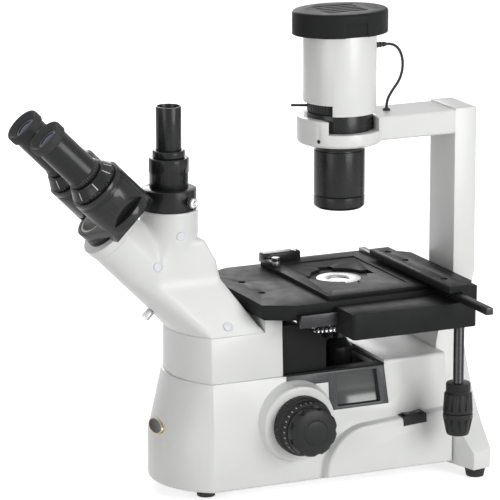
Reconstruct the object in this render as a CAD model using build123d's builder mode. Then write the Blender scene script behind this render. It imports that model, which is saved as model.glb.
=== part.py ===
from build123d import *
import os
from math import acos, asin, atan2, cos, degrees, pi, radians, sin, sqrt, tan

# Inverted microscope with a trinocular head, a mechanical stage and a lamp pillar.
# Millimetres. +X is the user's right, +Y points away from the user, +Z is up.
# The origin is on the bench, straight below the optical axis of stage and condenser.

os.makedirs("parts", exist_ok=True)

# Fits and tool overruns
GAP = 0.3  # air between pieces that move past each other
FIT = 0.05  # radial play of a shaft in its bore
OVERRUN = 1.0  # how far a cut runs past the face it opens
UP = (Align.CENTER, Align.CENTER, Align.MIN)
DOWN = (Align.CENTER, Align.CENTER, Align.MAX)

# Base casting
FOOT_HEIGHT = 10.0
FOOT_RADIUS = 11.0
FOOT_TREAD_RADIUS = 8.5
BASE_HALF = 60.0  # half width of the skirt
SIDE_DRAFT = 6.0  # how far each side leans in from the skirt to the deck
SKIRT_TOP = 53.0  # height of the crease on the sides
DECK_Z = 112.0  # top of the casting under the deck plate
CREASE_Y = -156.0  # where the flat sides meet the nose
NOSE_Y = -191.0
TOP_NOSE_Y = -176.0
BASE_BACK = 86.0
BASE_WALL = 5.0
BASE_ROUND = 3.0
REAR_FRONT = 21.6  # front face of the raised rear block
REAR_RISE = 4.5
PLATE_THICK = 3.0
SCREW_HEAD_RADIUS = 3.5
SCREW_HEAD = 2.0
SCREW_RADIUS = 1.9

# Side ledge with the mains switch
LEDGE_WIDTH = 10.0  # how far the ledge stands out of the skirt
LEDGE_TOE_Y = -44.0
LEDGE_START_Y = -4.0
LEDGE_FRONT_Z = 60.0
LEDGE_BACK_Z = 66.0
LEDGE_ROUND = 3.0
SWITCH_Y = 46.0
SWITCH_LENGTH = 24.0
SWITCH_WIDTH = 12.0
SWITCH_FRAME = 1.6
SWITCH_FRAME_RISE = 1.0
SWITCH_DEPTH = 8.0
ROCKER_RISE = 2.6

# Focus drive
FOCUS_Y = -72.0
FOCUS_Z = 69.0
BOSS_RADIUS = 36.0
BOSS_FOOT_RADIUS = 41.0
BOSS_PROUD = 8.0  # how far the boss stands out of the skirt
BOSS_ROUND = 2.5
COARSE_SHAFT_RADIUS = 9.0
FINE_SHAFT_RADIUS = 5.0
PINION_RADIUS = 10.0
PINION_HALF = 7.0
COARSE_RADIUS = 28.0
COARSE_FACE_RADIUS = 25.0
COARSE_LENGTH = 20.0
COARSE_GRIPS = 48
GRIP_DEPTH = 1.0
FINE_RADIUS = 23.5
FINE_FACE_RADIUS = 20.5
FINE_LENGTH = 14.0
FINE_DOME = 3.0
FINE_FLUTES = 9
FLUTE_RADIUS = 4.0

# Column and its black focus cover
COLUMN_STEP = 2.0  # the column is narrower than the deck by this on each side
COLUMN_DRAFT = 2.0
COLUMN_NOSE_Y = -174.4
COLUMN_CREASE_Y = -154.0
COLUMN_BACK = -82.0
COLUMN_SEAM_Z = 155.5
HEAD_BACK = -100.0  # back of the head foot on the column
COVER_STEP = 4.0  # the cover is narrower than the deck by this on each side
COVER_WALL = 2.0
COVER_TOP_Z = 160.0
COVER_FLAT_END = -64.0
COVER_BACK = -37.0
COVER_BACK_Z = 142.5
DECK_THICK = 1.5
WELL_NEAR_RIM = 12.0  # width of the deck beside the well
WELL_FAR_RIM = 7.0
WELL_BACK_Y = 18.0
BEAM_Y = -136.0  # vertical beam in the column
BEAM_RADIUS = 12.0
MIRROR_Z = 36.0
MIRROR_SIZE = 26.0
LENS_RADIUS = 16.0
LENS_THICK = 5.0
LENS_CELL_WALL = 2.0
LENS_CELL_HEIGHT = 12.0
LENS_CELL_Z = 122.0

# Stage
STAGE_Z = 186.0
STAGE_HALF = 80.0
STAGE_PLATE = 12.0
STAGE_LIP = 3.0
STAGE_FRONT = -110.0
STAGE_FRONT_HALF = 65.0
STAGE_SHOULDER_Y = -81.0
STAGE_BACK = 109.0
STAGE_BACK_HALF = 62.0
STAGE_BACK_SHOULDER_Y = 92.0
INSERT_RADIUS = 21.3
INSERT_THICK = 3.0
INSERT_HOLE_RADIUS = 10.35
STAGE_HOLE_RADIUS = 18.0
RELIEF_RADIUS = 58.0
RELIEF_X = -14.0
STAGE_WEB = 5.0
STAGE_SCREW_X = 22.0
STAGE_SCREW_Y = -90.0

# Nosepiece
TURRET_TILT = 15.0
TURRET_SEAT_Z = 141.5  # where the upright objective sits
SEAT_CIRCLE = 21.0
TURRET_RADIUS = 31.0
TURRET_THICK = 8.0
TURRET_CAP_RADIUS = 11.0
TURRET_GRIPS = 36
TURRET_PIN_RADIUS = 6.0
BACK_PLATE_RADIUS = 21.0
BACK_PLATE_THICK = 5.0
ARM_HALF = 14.0
OBJECTIVE_LENGTHS = (32.5, 27.0, 31.0, 29.0)
OBJECTIVE_RADIUS = 10.0
OBJECTIVE_THREAD_RADIUS = 8.0
OBJECTIVE_NECK = 2.0
OBJECTIVE_TIP_RADIUS = 4.0
OBJECTIVE_LENS_RADIUS = 2.5
LIGHT_TUBE_RADIUS = 13.0
LIGHT_TUBE_BORE = 5.0
LIGHT_TUBE_FOOT_Z = 98.0
LIGHT_TUBE_LENGTH = 22.5
LIGHT_CONE_LENGTH = 8.5
LIGHT_NECK_RADIUS = 6.6
SLIDE_HALF = 18.0
SLIDE_THICK = 9.0
SLIDE_FOOT_Z = 58.0
SLIDE_TOP_Z = 146.0
FINE_SLIDE_THICK = 8.0
FINE_SLIDE_FOOT_Z = 106.0
RAIL_THICK = 9.0
RAIL_TOP_Z = 104.0
GUIDE_FOOT = 8.0

# Lamp pillar and arm
PILLAR_HALF = 25.0
PILLAR_FRONT = 109.0
PILLAR_BACK = 131.6
PILLAR_TOP_Z = 343.8
NECK_TOP_Z = 185.0
NECK_FOOT_Z = 120.0
FOOT_BACK = 116.0
LEG_HALF = 95.0
LEG_BACK_HALF = 91.0
LEG_TOP_Z = 26.0
LEG_FRONT = 96.5
PILLAR_ROUND = 3.0
ARM_TOP_Z = 342.8
ARM_FOOT_Z = 319.5
RING_RADIUS = 40.0
RING_FOOT_Z = 317.5
RING_ROUND = 4.0
NOTCH_HALF = 26.0
NOTCH_Z = 330.5
HOUSING_FOOT_Z = 347.0
NECK_STEP = 4.0  # the collar's neck is this much smaller than the collar
IRIS_STEP = 0.4  # and the aperture ring this much
IRIS_HEIGHT = 9.4
LEVER_ANGLE = -115.0
LEVER_REACH = 45.5
LEVER_RADIUS = 1.3
LEVER_CLOSE = 30.0
LEVER_SLOT_SPARE = 7.0

# Lamp housing
HOUSING_RADIUS = 34.3
HOUSING_WALL = 3.0
HOUSING_FIT = 0.3
HOUSING_FLOOR = 3.0
HOUSING_TOP_Z = 421.0
WINDOW_END = -37.0  # angle where the lever window ends on the user's side
CAP_OVER_X = 2.2  # the cap reaches past the housing by this much
CAP_OVER_Y = 12.2
CAP_HEIGHT = 22.0
CAP_WALL = 3.0
CAP_ROUND = 3.0
CAP_NOTCH_HALF = 11.5
CAP_NOTCH_HEIGHT = 13.0
CAP_NOTCH_DEPTH = 2.5
VENT_COUNT = 5
VENT_PITCH = 8.0
VENT_WIDTH = 3.0
VENT_LENGTH = 42.0
CONDENSER_RADIUS = 24.0
CONDENSER_BORE = 21.0
CONDENSER_RING_Z = 268.0
CONDENSER_FOOT_Z = 255.3
CONDENSER_GROOVE = 1.2
CONDENSER_LENS_THICK = 6.0
COLLECTOR_THICK = 6.0
HOLDER_RADIUS = 24.0
HOLDER_BORE = 13.0
HOLDER_PLATE = 3.0
HOLDER_POST = 4.0
HOLDER_HEIGHT = 38.0
SOCKET_HEIGHT = 10.0
BULB_RADIUS = 6.0
BULB_HEIGHT = 16.0

# Lamp cord: free between the boot on the housing and the grommet on the arm
CORD_RADIUS = 1.3
CORD_ROUTE = (
    (0, 48.0, 406.0),
    (0, 54.5, 406.0),
    (0, 61.8, 400.5),
    (0, 65.5, 391.5),
    (0, 65.8, 381.0),
    (0, 62.5, 370.5),
    (0, 55.0, 361.5),
    (0, 49.0, 352.0),
)
BOOT_RADIUS = 3.0
BOOT_TIP_RADIUS = 2.2
BOOT_RIBS = 3
GROMMET_RADIUS = 3.6
GROMMET_HEIGHT = 2.2

# Head housing
HEAD_AXIS_SUM = 19.5  # Y plus Z on the axis of the inclined tube
TUBE_RADIUS = 26.5
RIM_START = 340.0  # distances along the inclined axis, from the origin's level
RIM_END = 348.0
RIM_RADIUS = 27.3
PORT_Y = -174.0
PORT_RADIUS = 27.0
PORT_TOP_Z = 270.0
PORT_BORE = 11.6
HEAD_WAIST_Z = 205.0
HEAD_WAIST_HALF = 28.0
HEAD_WAIST_NOSE = -221.0
HEAD_WAIST_CREASE = -200.0
HEAD_WAIST_BACK = -134.0
HEAD_SHOULDER_Z = 244.0
HEAD_SHOULDER_HALF = 25.0
HEAD_SHOULDER_NOSE = -196.0
HEAD_SHOULDER_CREASE = -186.0
HEAD_SHOULDER_BACK = -141.0
PLUG_RADIUS = 4.0
PLUG_DEPTH = 1.5
EYE_BORE = 18.0
ROD_RADIUS = 2.5
ROD_KNOB_RADIUS = 4.0
ROD_KNOB_LENGTH = 9.0
ROD_TRAVEL = 10.0
PRISM_SIZE = 18.0
CHAMBER_MARGIN = 2.0

# Photo port
DOVETAIL_RADIUS = 25.3
DOVETAIL_HEIGHT = 20.0
COLLAR_PORT_RADIUS = 18.0
COLLAR_PORT_HEIGHT = 28.0
SLEEVE_RADIUS = 15.0
SLEEVE_HEIGHT = 7.0
PHOTO_RADIUS = 11.8
PHOTO_TOP_Z = 365.7
PHOTO_WALL = 1.4
PHOTO_SPIGOT_RADIUS = 11.3  # the part of the photo tube inside the collar
CLAMP_ANGLE = 18.0
CLAMP_SCREW_RADIUS = 2.0
CLAMP_KNOB_RADIUS = 4.5
CLAMP_KNOB_LENGTH = 7.0
CLAMP_REACH = 9.0

# Binocular tubes
PIVOT_RADIUS = 34.0  # from the pivot axis to each eyepiece axis
BOX_APART = 1.1  # at rest each box keeps this far from the plane between them
PIVOT_DISC_RADIUS = 20.0
WEB_HEIGHT = 8.0
WEB_MARGIN = 1.0  # the webs keep this far from the plane between them
BOX_RADIUS = 26.4
BOX_TOP = 399.0
BOX_GROOVE = 1.0
RELIEF_SPARE = 4.3
FACET_SHARE = 0.65  # share of the box radius that the facet takes off at the lower end
FACET_HEIGHT = 30.0
SCALE_HEIGHT = 12.0
SCALE_RADIUS = 24.0
SCALE_TOP_RADIUS = 19.0
EYE_TUBE_RADIUS = 13.5
EYE_TUBE_BORE = 11.6
EYEPIECE_RADIUS = 15.6
EYECUP_RADIUS = 17.5
EYECUP_HEIGHT = 9.0
EYEPIECE_LENGTH = 56.4
EYE_LENS_RADIUS = 10.0
EYE_LENS_THICK = 4.0

# Mechanical stage
SADDLE_NEAR = 119.0
SADDLE_FRONT = -43.0
SADDLE_BACK = 84.0
SADDLE_FOOT_Z = 158.0
SADDLE_TOP_Z = 182.0
SADDLE_BLOCK_FRONT = 66.0
SADDLE_CREST_Z = 197.0
GUIDE_HEAD = 4.0
GUIDE_NECK = 4.0
GUIDE_TOP_Z = 178.0
GUIDE_HEAD_HEIGHT = 12.0
GUIDE_NECK_HEIGHT = 3.0
BAR_FAR = -39.0
BAR_NEAR = 125.0
BAR_FRONT = 52.0
BAR_BACK = 73.0
BAR_TOP_Z = 200.0
BAR_TOP_THICK = 6.0
RAIL_BACK = 65.0
RAIL_WIDTH = 7.0
RAIL_FAR = -74.0
RAIL_NEAR = 185.0
RAIL_HEIGHT = 6.8
CARRIER_FAR = -75.0
CARRIER_NEAR = 74.0
CARRIER_FRONT = -47.0
CARRIER_THICK = 3.6
CARRIER_HOLE_RADIUS = 27.0
CARRIER_SLOT_HALF = 7.0
CARRIER_SLOT_REACH = 34.0
CARRIER_STEP = 1.2
DRIVE_X = 109.0
DRIVE_Y = 71.0
DRIVE_TUBE_RADIUS = 5.0
DRIVE_ROD_RADIUS = 3.0
DRIVE_COLLAR_RADIUS = 11.5
DRIVE_COLLAR_TOP_Z = 103.0
DRIVE_COLLAR_FOOT_Z = 94.0
DRIVE_SPLIT_Z = 74.5
DRIVE_FOOT_Z = 53.0
DRIVE_KNOB_RADIUS = 14.0
DRIVE_KNOB_TOP_RADIUS = 12.5
DRIVE_KNOB_FOOT_RADIUS = 10.5
DRIVE_FLUTES = 10
CLAMP_BLOCK_FAR = -75.0
CLAMP_BLOCK_WIDTH = 10.0
CLAMP_BLOCK_FRONT = -48.0
CLAMP_BLOCK_BACK = -9.0
CLAMP_BLOCK_HEIGHT = 9.0
CLAMP_PIN_RADIUS = 2.0
CLAMP_FINGER_X = -50.0
CLAMP_FINGER_Y = -42.0

# Inlet, badge and side windows
INLET_Z = 46.0
INLET_WIDTH = 27.4
INLET_HEIGHT = 20.0
INLET_FLANGE_WIDTH = 48.0
INLET_FLANGE_HEIGHT = 24.0
INLET_FLANGE = 3.0
INLET_DEPTH = 24.0
INLET_RIM = 2.6
INLET_RECESS = 16.0
INLET_PIN_RADIUS = 1.5
BADGE_Z = 63.6
BADGE_HALF_WIDTH = 15.0
BADGE_HALF_HEIGHT = 7.0
BADGE_THICK = 1.2
STRIP_FRONT = -80.0
STRIP_BACK = -37.0
STRIP_HEIGHT = 10.0
WINDOW_BACK_TOP = 21.0
WINDOW_BACK_FOOT = 24.5
WINDOW_HEIGHT = 37.0
FRAME_WIDTH = 8.5
FRAME_SILL = 3.0
BEZEL_DEPTH = 8.0
BEZEL_PROUD = 0.8
PANEL_DEPTH = 6.5
BOARD_LENGTH = 44.0
BOARD_WIDTH = 64.0
BOARD_THICK = 1.6
BOARD_Y = 50.0
POST_HEIGHT = 6.0
POST_RADIUS = 3.0
COIL_SIZE = 28.0
CAPACITOR_RADIUS = 6.0
CAPACITOR_HEIGHT = 18.0

# Sizes worked out from the ones above
TOP_HALF = BASE_HALF - SIDE_DRAFT
LEDGE_HALF = BASE_HALF + LEDGE_WIDTH
BOSS_FACE = BASE_HALF + BOSS_PROUD
COLUMN_HALF = TOP_HALF - COLUMN_STEP
COLUMN_TOP_HALF = COLUMN_HALF - COLUMN_DRAFT
COVER_HALF = TOP_HALF - COVER_STEP
WELL_NEAR_X = TOP_HALF - WELL_NEAR_RIM
WELL_FAR_X = WELL_FAR_RIM - TOP_HALF
COLLAR_RADIUS = HOUSING_RADIUS - HOUSING_WALL - HOUSING_FIT
NECK_RADIUS = COLLAR_RADIUS - NECK_STEP
IRIS_RADIUS = COLLAR_RADIUS - IRIS_STEP
CAP_HALF_X = HOUSING_RADIUS + CAP_OVER_X
CAP_HALF_Y = HOUSING_RADIUS + CAP_OVER_Y
EYE_HALF = BOX_RADIUS + BOX_APART
EYE_TOP = BOX_TOP + 2 * GAP + SCALE_HEIGHT + EYEPIECE_LENGTH
SIDE_LEAN = atan2(BASE_HALF - TOP_HALF, DECK_Z - SKIRT_TOP)
SIDE_SLOPE = sqrt((BASE_HALF - TOP_HALF) ** 2 + (DECK_Z - SKIRT_TOP) ** 2)
STAGE_FOOT_Z = STAGE_Z - STAGE_PLATE - STAGE_LIP
DECK_TOP_Z = DECK_Z + DECK_THICK
LEDGE_LEAN = atan2(LEDGE_BACK_Z - LEDGE_FRONT_Z, BASE_BACK - LEDGE_START_Y)
SWITCH_X = (BASE_HALF + LEDGE_HALF) / 2
SWITCH_Z = LEDGE_FRONT_Z + (SWITCH_Y - LEDGE_START_Y) * tan(LEDGE_LEAN)


def plan_outline(half, nose, crease, back, height):
    """A level outline with flat sides and back and an arc for a nose."""
    with BuildSketch(Plane.XY.offset(height)) as outline:
        with BuildLine():
            Polyline((half, crease), (half, back), (-half, back), (-half, crease))
            ThreePointArc((-half, crease), (0, nose), (half, crease))
        make_face()
    return outline.sketch


def side_outline(*points):
    """A closed outline of straight lines in the plane of symmetry, as Y and Z pairs."""
    with BuildSketch(Plane.YZ) as outline:
        with BuildLine():
            Polyline(*points, close=True)
        make_face()
    return outline.sketch


def turned_outline(*points, plane=Plane.XZ):
    """A closed outline to turn about an axis, as radius and height pairs."""
    with BuildSketch(plane) as outline:
        with BuildLine():
            Polyline(*points, close=True)
        make_face()
    return outline.sketch


# Base shell: one casting with a drafted upper body, a ledge on each side and two knob bosses
FOOT_PLACES = [
    (x * side, y)
    for x, y in (
        (LEG_HALF - FOOT_RADIUS - BASE_WALL, (LEG_FRONT + FOOT_BACK) / 2),
        (BASE_HALF / 2, CREASE_Y + BASE_WALL),
    )
    for side in (1, -1)
]
SHELL_FOOT = plan_outline(BASE_HALF, NOSE_Y, CREASE_Y, BASE_BACK, SKIRT_TOP)
SHELL_TOP = plan_outline(TOP_HALF, TOP_NOSE_Y, COLUMN_CREASE_Y, BASE_BACK, DECK_Z)
HOLLOW_FOOT = plan_outline(
    BASE_HALF - BASE_WALL, NOSE_Y + BASE_WALL, CREASE_Y, BASE_BACK - BASE_WALL, SKIRT_TOP
)
HOLLOW_TOP = plan_outline(
    TOP_HALF - BASE_WALL, TOP_NOSE_Y + BASE_WALL, COLUMN_CREASE_Y, BASE_BACK - BASE_WALL,
    DECK_Z - BASE_WALL,
)
SIDE_PLANES = [
    Plane(
        origin=(side * BASE_HALF, 0, SKIRT_TOP),
        x_dir=(0, side, 0),
        z_dir=(side * cos(SIDE_LEAN), 0, sin(SIDE_LEAN)),
    )
    for side in (1, -1)
]


def bezel_outline(side, margin=0.0):
    """The outline of a side bezel on its sloping plane; margin carries it over the top edge."""
    corners = (
        (STRIP_FRONT, SIDE_SLOPE + margin),
        (STRIP_FRONT, SIDE_SLOPE - STRIP_HEIGHT),
        (STRIP_BACK, SIDE_SLOPE - STRIP_HEIGHT),
        (STRIP_BACK, SIDE_SLOPE - WINDOW_HEIGHT),
        (WINDOW_BACK_FOOT, SIDE_SLOPE - WINDOW_HEIGHT),
        (WINDOW_BACK_TOP, SIDE_SLOPE + margin),
    )
    with BuildSketch(SIDE_PLANES[0 if side > 0 else 1]) as outline:
        with BuildLine():
            Polyline(*[(side * y, z) for y, z in corners], close=True)
        make_face()
    return outline.sketch


def window_outline(side):
    """The recessed window inside a side bezel."""
    front = STRIP_BACK + FRAME_WIDTH
    foot = SIDE_SLOPE - WINDOW_HEIGHT + FRAME_SILL
    corners = (
        (front, SIDE_SLOPE - FRAME_SILL),
        (front, foot),
        (WINDOW_BACK_FOOT - FRAME_WIDTH, foot),
        (WINDOW_BACK_TOP - FRAME_WIDTH, SIDE_SLOPE - FRAME_SILL),
    )
    with BuildSketch(SIDE_PLANES[0 if side > 0 else 1]) as outline:
        with BuildLine():
            Polyline(*[(side * y, z) for y, z in corners], close=True)
        make_face()
    return outline.sketch


SWITCH_PLANE = Plane(
    origin=(SWITCH_X, SWITCH_Y, SWITCH_Z),
    x_dir=(1, 0, 0),
    z_dir=(0, -sin(LEDGE_LEAN), cos(LEDGE_LEAN)),
)
FOCUS_PLANE = Plane(origin=(0, FOCUS_Y, FOCUS_Z), x_dir=(0, 1, 0), z_dir=(1, 0, 0))
LEDGE_OUTLINE_START = FOOT_HEIGHT + BASE_ROUND

with BuildPart() as base_shell:
    extrude(to_extrude=SHELL_FOOT, amount=FOOT_HEIGHT - SKIRT_TOP)
    nose_edges = base_shell.edges().group_by(Axis.Z)[0]
    fillet(nose_edges, radius=BASE_ROUND)
    loft([SHELL_FOOT.face(), SHELL_TOP.face()], ruled=True)
    with Locations((0, (REAR_FRONT + BASE_BACK) / 2, DECK_Z)):
        Box(2 * TOP_HALF, BASE_BACK - REAR_FRONT, REAR_RISE, align=UP)
    rear_edges = base_shell.edges().group_by(Axis.Z)[-1].filter_by(Axis.Y)
    fillet(rear_edges, radius=BASE_ROUND)
    with BuildSketch(Plane.YZ) as ledge:
        with BuildLine():
            ThreePointArc(
                (LEDGE_TOE_Y, LEDGE_OUTLINE_START),
                (
                    LEDGE_START_Y - (LEDGE_START_Y - LEDGE_TOE_Y) * sin(pi / 4),
                    LEDGE_OUTLINE_START + (LEDGE_FRONT_Z - LEDGE_OUTLINE_START) * sin(pi / 4),
                ),
                (LEDGE_START_Y, LEDGE_FRONT_Z),
            )
            Polyline(
                (LEDGE_START_Y, LEDGE_FRONT_Z),
                (BASE_BACK, LEDGE_BACK_Z),
                (BASE_BACK, LEDGE_OUTLINE_START),
                (LEDGE_TOE_Y, LEDGE_OUTLINE_START),
            )
        make_face()
    extrude(amount=LEDGE_HALF, both=True)
    ledge_edges = base_shell.faces().filter_by(Axis.X).group_by(Axis.X)
    fillet(
        ledge_edges[0].edges().filter_by(Axis.Z, reverse=True)
        + ledge_edges[-1].edges().filter_by(Axis.Z, reverse=True),
        radius=LEDGE_ROUND,
    )
    for side in (1, -1):
        with BuildSketch(Plane.XY) as boss_profile:
            with BuildLine():
                Polyline(
                    (side * (BOSS_FACE - BOSS_ROUND), FOCUS_Y + BOSS_RADIUS),
                    (side * (BASE_HALF - 2 * BASE_WALL), FOCUS_Y + BOSS_FOOT_RADIUS),
                    (side * (BASE_HALF - 2 * BASE_WALL), FOCUS_Y),
                    (side * BOSS_FACE, FOCUS_Y),
                    (side * BOSS_FACE, FOCUS_Y + BOSS_RADIUS - BOSS_ROUND),
                )
                RadiusArc(
                    (side * BOSS_FACE, FOCUS_Y + BOSS_RADIUS - BOSS_ROUND),
                    (side * (BOSS_FACE - BOSS_ROUND), FOCUS_Y + BOSS_RADIUS),
                    -side * BOSS_ROUND,
                )
            make_face()
        boss = Pos(0, 0, FOCUS_Z) * boss_profile.sketch
        revolve(boss, axis=Axis((0, FOCUS_Y, FOCUS_Z), (1, 0, 0)))
    hollow_depth = SKIRT_TOP - FOOT_HEIGHT + OVERRUN
    extrude(to_extrude=HOLLOW_FOOT, amount=-hollow_depth, mode=Mode.SUBTRACT)
    loft([HOLLOW_FOOT.face(), HOLLOW_TOP.face()], ruled=True, mode=Mode.SUBTRACT)
    well_front = COLUMN_BACK + BASE_WALL
    with Locations(((WELL_NEAR_X + WELL_FAR_X) / 2, (well_front + WELL_BACK_Y) / 2, DECK_Z)):
        Box(WELL_NEAR_X - WELL_FAR_X, WELL_BACK_Y - well_front, 2 * BASE_WALL + OVERRUN,
            mode=Mode.SUBTRACT)
    with Locations((0, BEAM_Y, DECK_Z)):
        Cylinder(LENS_RADIUS + LENS_CELL_WALL, 2 * BASE_WALL + OVERRUN, mode=Mode.SUBTRACT)
    for side in (1, -1):
        extrude(to_extrude=bezel_outline(side, OVERRUN), amount=-BEZEL_DEPTH, mode=Mode.SUBTRACT)
        extrude(to_extrude=bezel_outline(side, OVERRUN), amount=OVERRUN, mode=Mode.SUBTRACT)
    with Locations(FOCUS_PLANE):
        Cylinder(COARSE_SHAFT_RADIUS + FIT, 2 * (BOSS_FACE + OVERRUN), mode=Mode.SUBTRACT)
    with Locations(SWITCH_PLANE):
        Box(SWITCH_WIDTH, SWITCH_LENGTH, 2 * SWITCH_DEPTH, mode=Mode.SUBTRACT)
    with Locations((0, BASE_BACK, INLET_Z)):
        Box(INLET_WIDTH, 2 * BASE_WALL + OVERRUN, INLET_HEIGHT, mode=Mode.SUBTRACT)
base_shell.part.label = "base_shell"
export_step(base_shell.part, "parts/base_shell.step")

# Base plate: the steel bottom, inside the rim of the shell
with BuildPart() as base_plate:
    with BuildSketch(Plane.XY.offset(FOOT_HEIGHT)):
        add(plan_outline(
            BASE_HALF - BASE_WALL, NOSE_Y + BASE_WALL, CREASE_Y, BASE_BACK - BASE_WALL, FOOT_HEIGHT
        ))
    extrude(amount=PLATE_THICK)
base_plate.part.label = "base_plate"
export_step(base_plate.part, "parts/base_plate.step")

with BuildPart() as rubber_feet:
    for x, y in FOOT_PLACES:
        with BuildSketch(Plane.XY):
            with Locations((x, y)):
                Circle(FOOT_TREAD_RADIUS)
        with BuildSketch(Plane.XY.offset(FOOT_HEIGHT)):
            with Locations((x, y)):
                Circle(FOOT_RADIUS)
        loft()
rubber_feet.part.label = "rubber_feet"
export_step(rubber_feet.part, "parts/rubber_feet.step")

BASE_SCREW_PLACES = [
    (side * (BASE_HALF - 3 * BASE_WALL), y)
    for side in (1, -1)
    for y in (CREASE_Y + 4 * BASE_WALL, BASE_BACK - 3 * BASE_WALL)
]

# Front column: carries the head in front and the stage on its raised back
with BuildPart() as front_column:
    loft([
        plan_outline(
            COLUMN_HALF, COLUMN_NOSE_Y, COLUMN_CREASE_Y, COLUMN_BACK, DECK_Z
        ).face(),
        plan_outline(
            COLUMN_TOP_HALF, COLUMN_NOSE_Y, COLUMN_CREASE_Y, COLUMN_BACK, COLUMN_SEAM_Z
        ).face(),
    ], ruled=True)
    crest_depth = COLUMN_BACK - HEAD_BACK - GAP
    with Locations((0, COLUMN_BACK - crest_depth / 2, COLUMN_SEAM_Z)):
        Box(2 * COLUMN_TOP_HALF, crest_depth, STAGE_FOOT_Z - COLUMN_SEAM_Z, align=UP)
    with Locations((0, BEAM_Y, DECK_Z - OVERRUN)):
        Cylinder(LENS_RADIUS, COLUMN_SEAM_Z - DECK_Z + 2 * OVERRUN, align=UP, mode=Mode.SUBTRACT)
front_column.part.label = "front_column"
export_step(front_column.part, "parts/front_column.step")

# Tube lens in its cell, inside the column
with BuildPart() as tube_lens:
    with BuildSketch(Plane.XY.offset(LENS_CELL_Z)):
        Circle(LENS_RADIUS)
        Circle(LENS_RADIUS - LENS_CELL_WALL, mode=Mode.SUBTRACT)
    extrude(amount=LENS_CELL_HEIGHT)
    with Locations((0, 0, LENS_CELL_Z + LENS_CELL_HEIGHT / 2)):
        Cylinder(LENS_RADIUS - LENS_CELL_WALL / 2, LENS_THICK)
tube_lens.part.position = (0, BEAM_Y, 0)
tube_lens.part.label = "tube_lens"
export_step(tube_lens.part, "parts/tube_lens.step")

# Deck plate: a black frame round the well of the nosepiece
DECK_FRONT = COLUMN_BACK
with BuildPart() as deck_plate:
    with BuildSketch(Plane.XY.offset(DECK_Z)):
        with Locations((0, (DECK_FRONT + REAR_FRONT) / 2)):
            Rectangle(2 * TOP_HALF, REAR_FRONT - DECK_FRONT)
        with Locations(((WELL_NEAR_X + WELL_FAR_X) / 2, (well_front + WELL_BACK_Y) / 2)):
            Rectangle(WELL_NEAR_X - WELL_FAR_X, WELL_BACK_Y - well_front, mode=Mode.SUBTRACT)
    extrude(amount=DECK_THICK)
deck_plate.part.label = "deck_plate"
export_step(deck_plate.part, "parts/deck_plate.step")

# Focus cover: two black side plates joined by a short roof
with BuildPart() as focus_cover:
    cover_side = side_outline(
        (COLUMN_BACK, DECK_TOP_Z),
        (COLUMN_BACK, COVER_TOP_Z),
        (COVER_FLAT_END, COVER_TOP_Z),
        (COVER_BACK, COVER_BACK_Z),
        (COVER_BACK, DECK_TOP_Z),
    )
    extrude(to_extrude=cover_side, amount=COVER_HALF, both=True)
    inside = 2 * (COVER_HALF - COVER_WALL)
    with Locations((0, COLUMN_BACK - OVERRUN, DECK_TOP_Z - OVERRUN)):
        Box(inside, COVER_FLAT_END - COLUMN_BACK + OVERRUN,
            COVER_TOP_Z - COVER_WALL - DECK_TOP_Z + OVERRUN,
            align=(Align.CENTER, Align.MIN, Align.MIN), mode=Mode.SUBTRACT)
    with Locations((0, COVER_FLAT_END - OVERRUN, DECK_TOP_Z - OVERRUN)):
        Box(inside, COVER_BACK - COVER_FLAT_END + 2 * OVERRUN, COVER_TOP_Z - DECK_TOP_Z + 2 * OVERRUN,
            align=(Align.CENTER, Align.MIN, Align.MIN), mode=Mode.SUBTRACT)
focus_cover.part.label = "focus_cover"
export_step(focus_cover.part, "parts/focus_cover.step")

# Side bezels: dark frames let into the sloping sides, each with a recessed window
with BuildPart() as side_bezels:
    for side in (1, -1):
        extrude(to_extrude=bezel_outline(side), amount=-BEZEL_DEPTH)
        extrude(to_extrude=bezel_outline(side), amount=BEZEL_PROUD)
        extrude(to_extrude=window_outline(side), amount=-PANEL_DEPTH, mode=Mode.SUBTRACT)
        extrude(to_extrude=window_outline(side), amount=BEZEL_PROUD + OVERRUN, mode=Mode.SUBTRACT)
side_bezels.part.label = "side_bezels"
export_step(side_bezels.part, "parts/side_bezels.step")

# Front badge: a bare oval plate on the sloping nose
NOSE_LEAN = atan2(TOP_NOSE_Y - NOSE_Y, DECK_Z - SKIRT_TOP)
BADGE_PLANE = Plane(
    origin=(0, NOSE_Y + (BADGE_Z - SKIRT_TOP) * tan(NOSE_LEAN), BADGE_Z),
    x_dir=(1, 0, 0),
    z_dir=(0, -cos(NOSE_LEAN), sin(NOSE_LEAN)),
)
with BuildPart() as badge_plate:
    with BuildSketch(BADGE_PLANE.offset(-BASE_WALL / 2)):
        Ellipse(BADGE_HALF_WIDTH, BADGE_HALF_HEIGHT)
    extrude(amount=BASE_WALL / 2 + BADGE_THICK)
    add(base_shell.part, mode=Mode.SUBTRACT)
    add(badge_plate.solids().sort_by(Axis.Y)[0], mode=Mode.REPLACE)
badge_plate.part.label = "badge_plate"
export_step(badge_plate.part, "parts/badge_plate.step")

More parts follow.
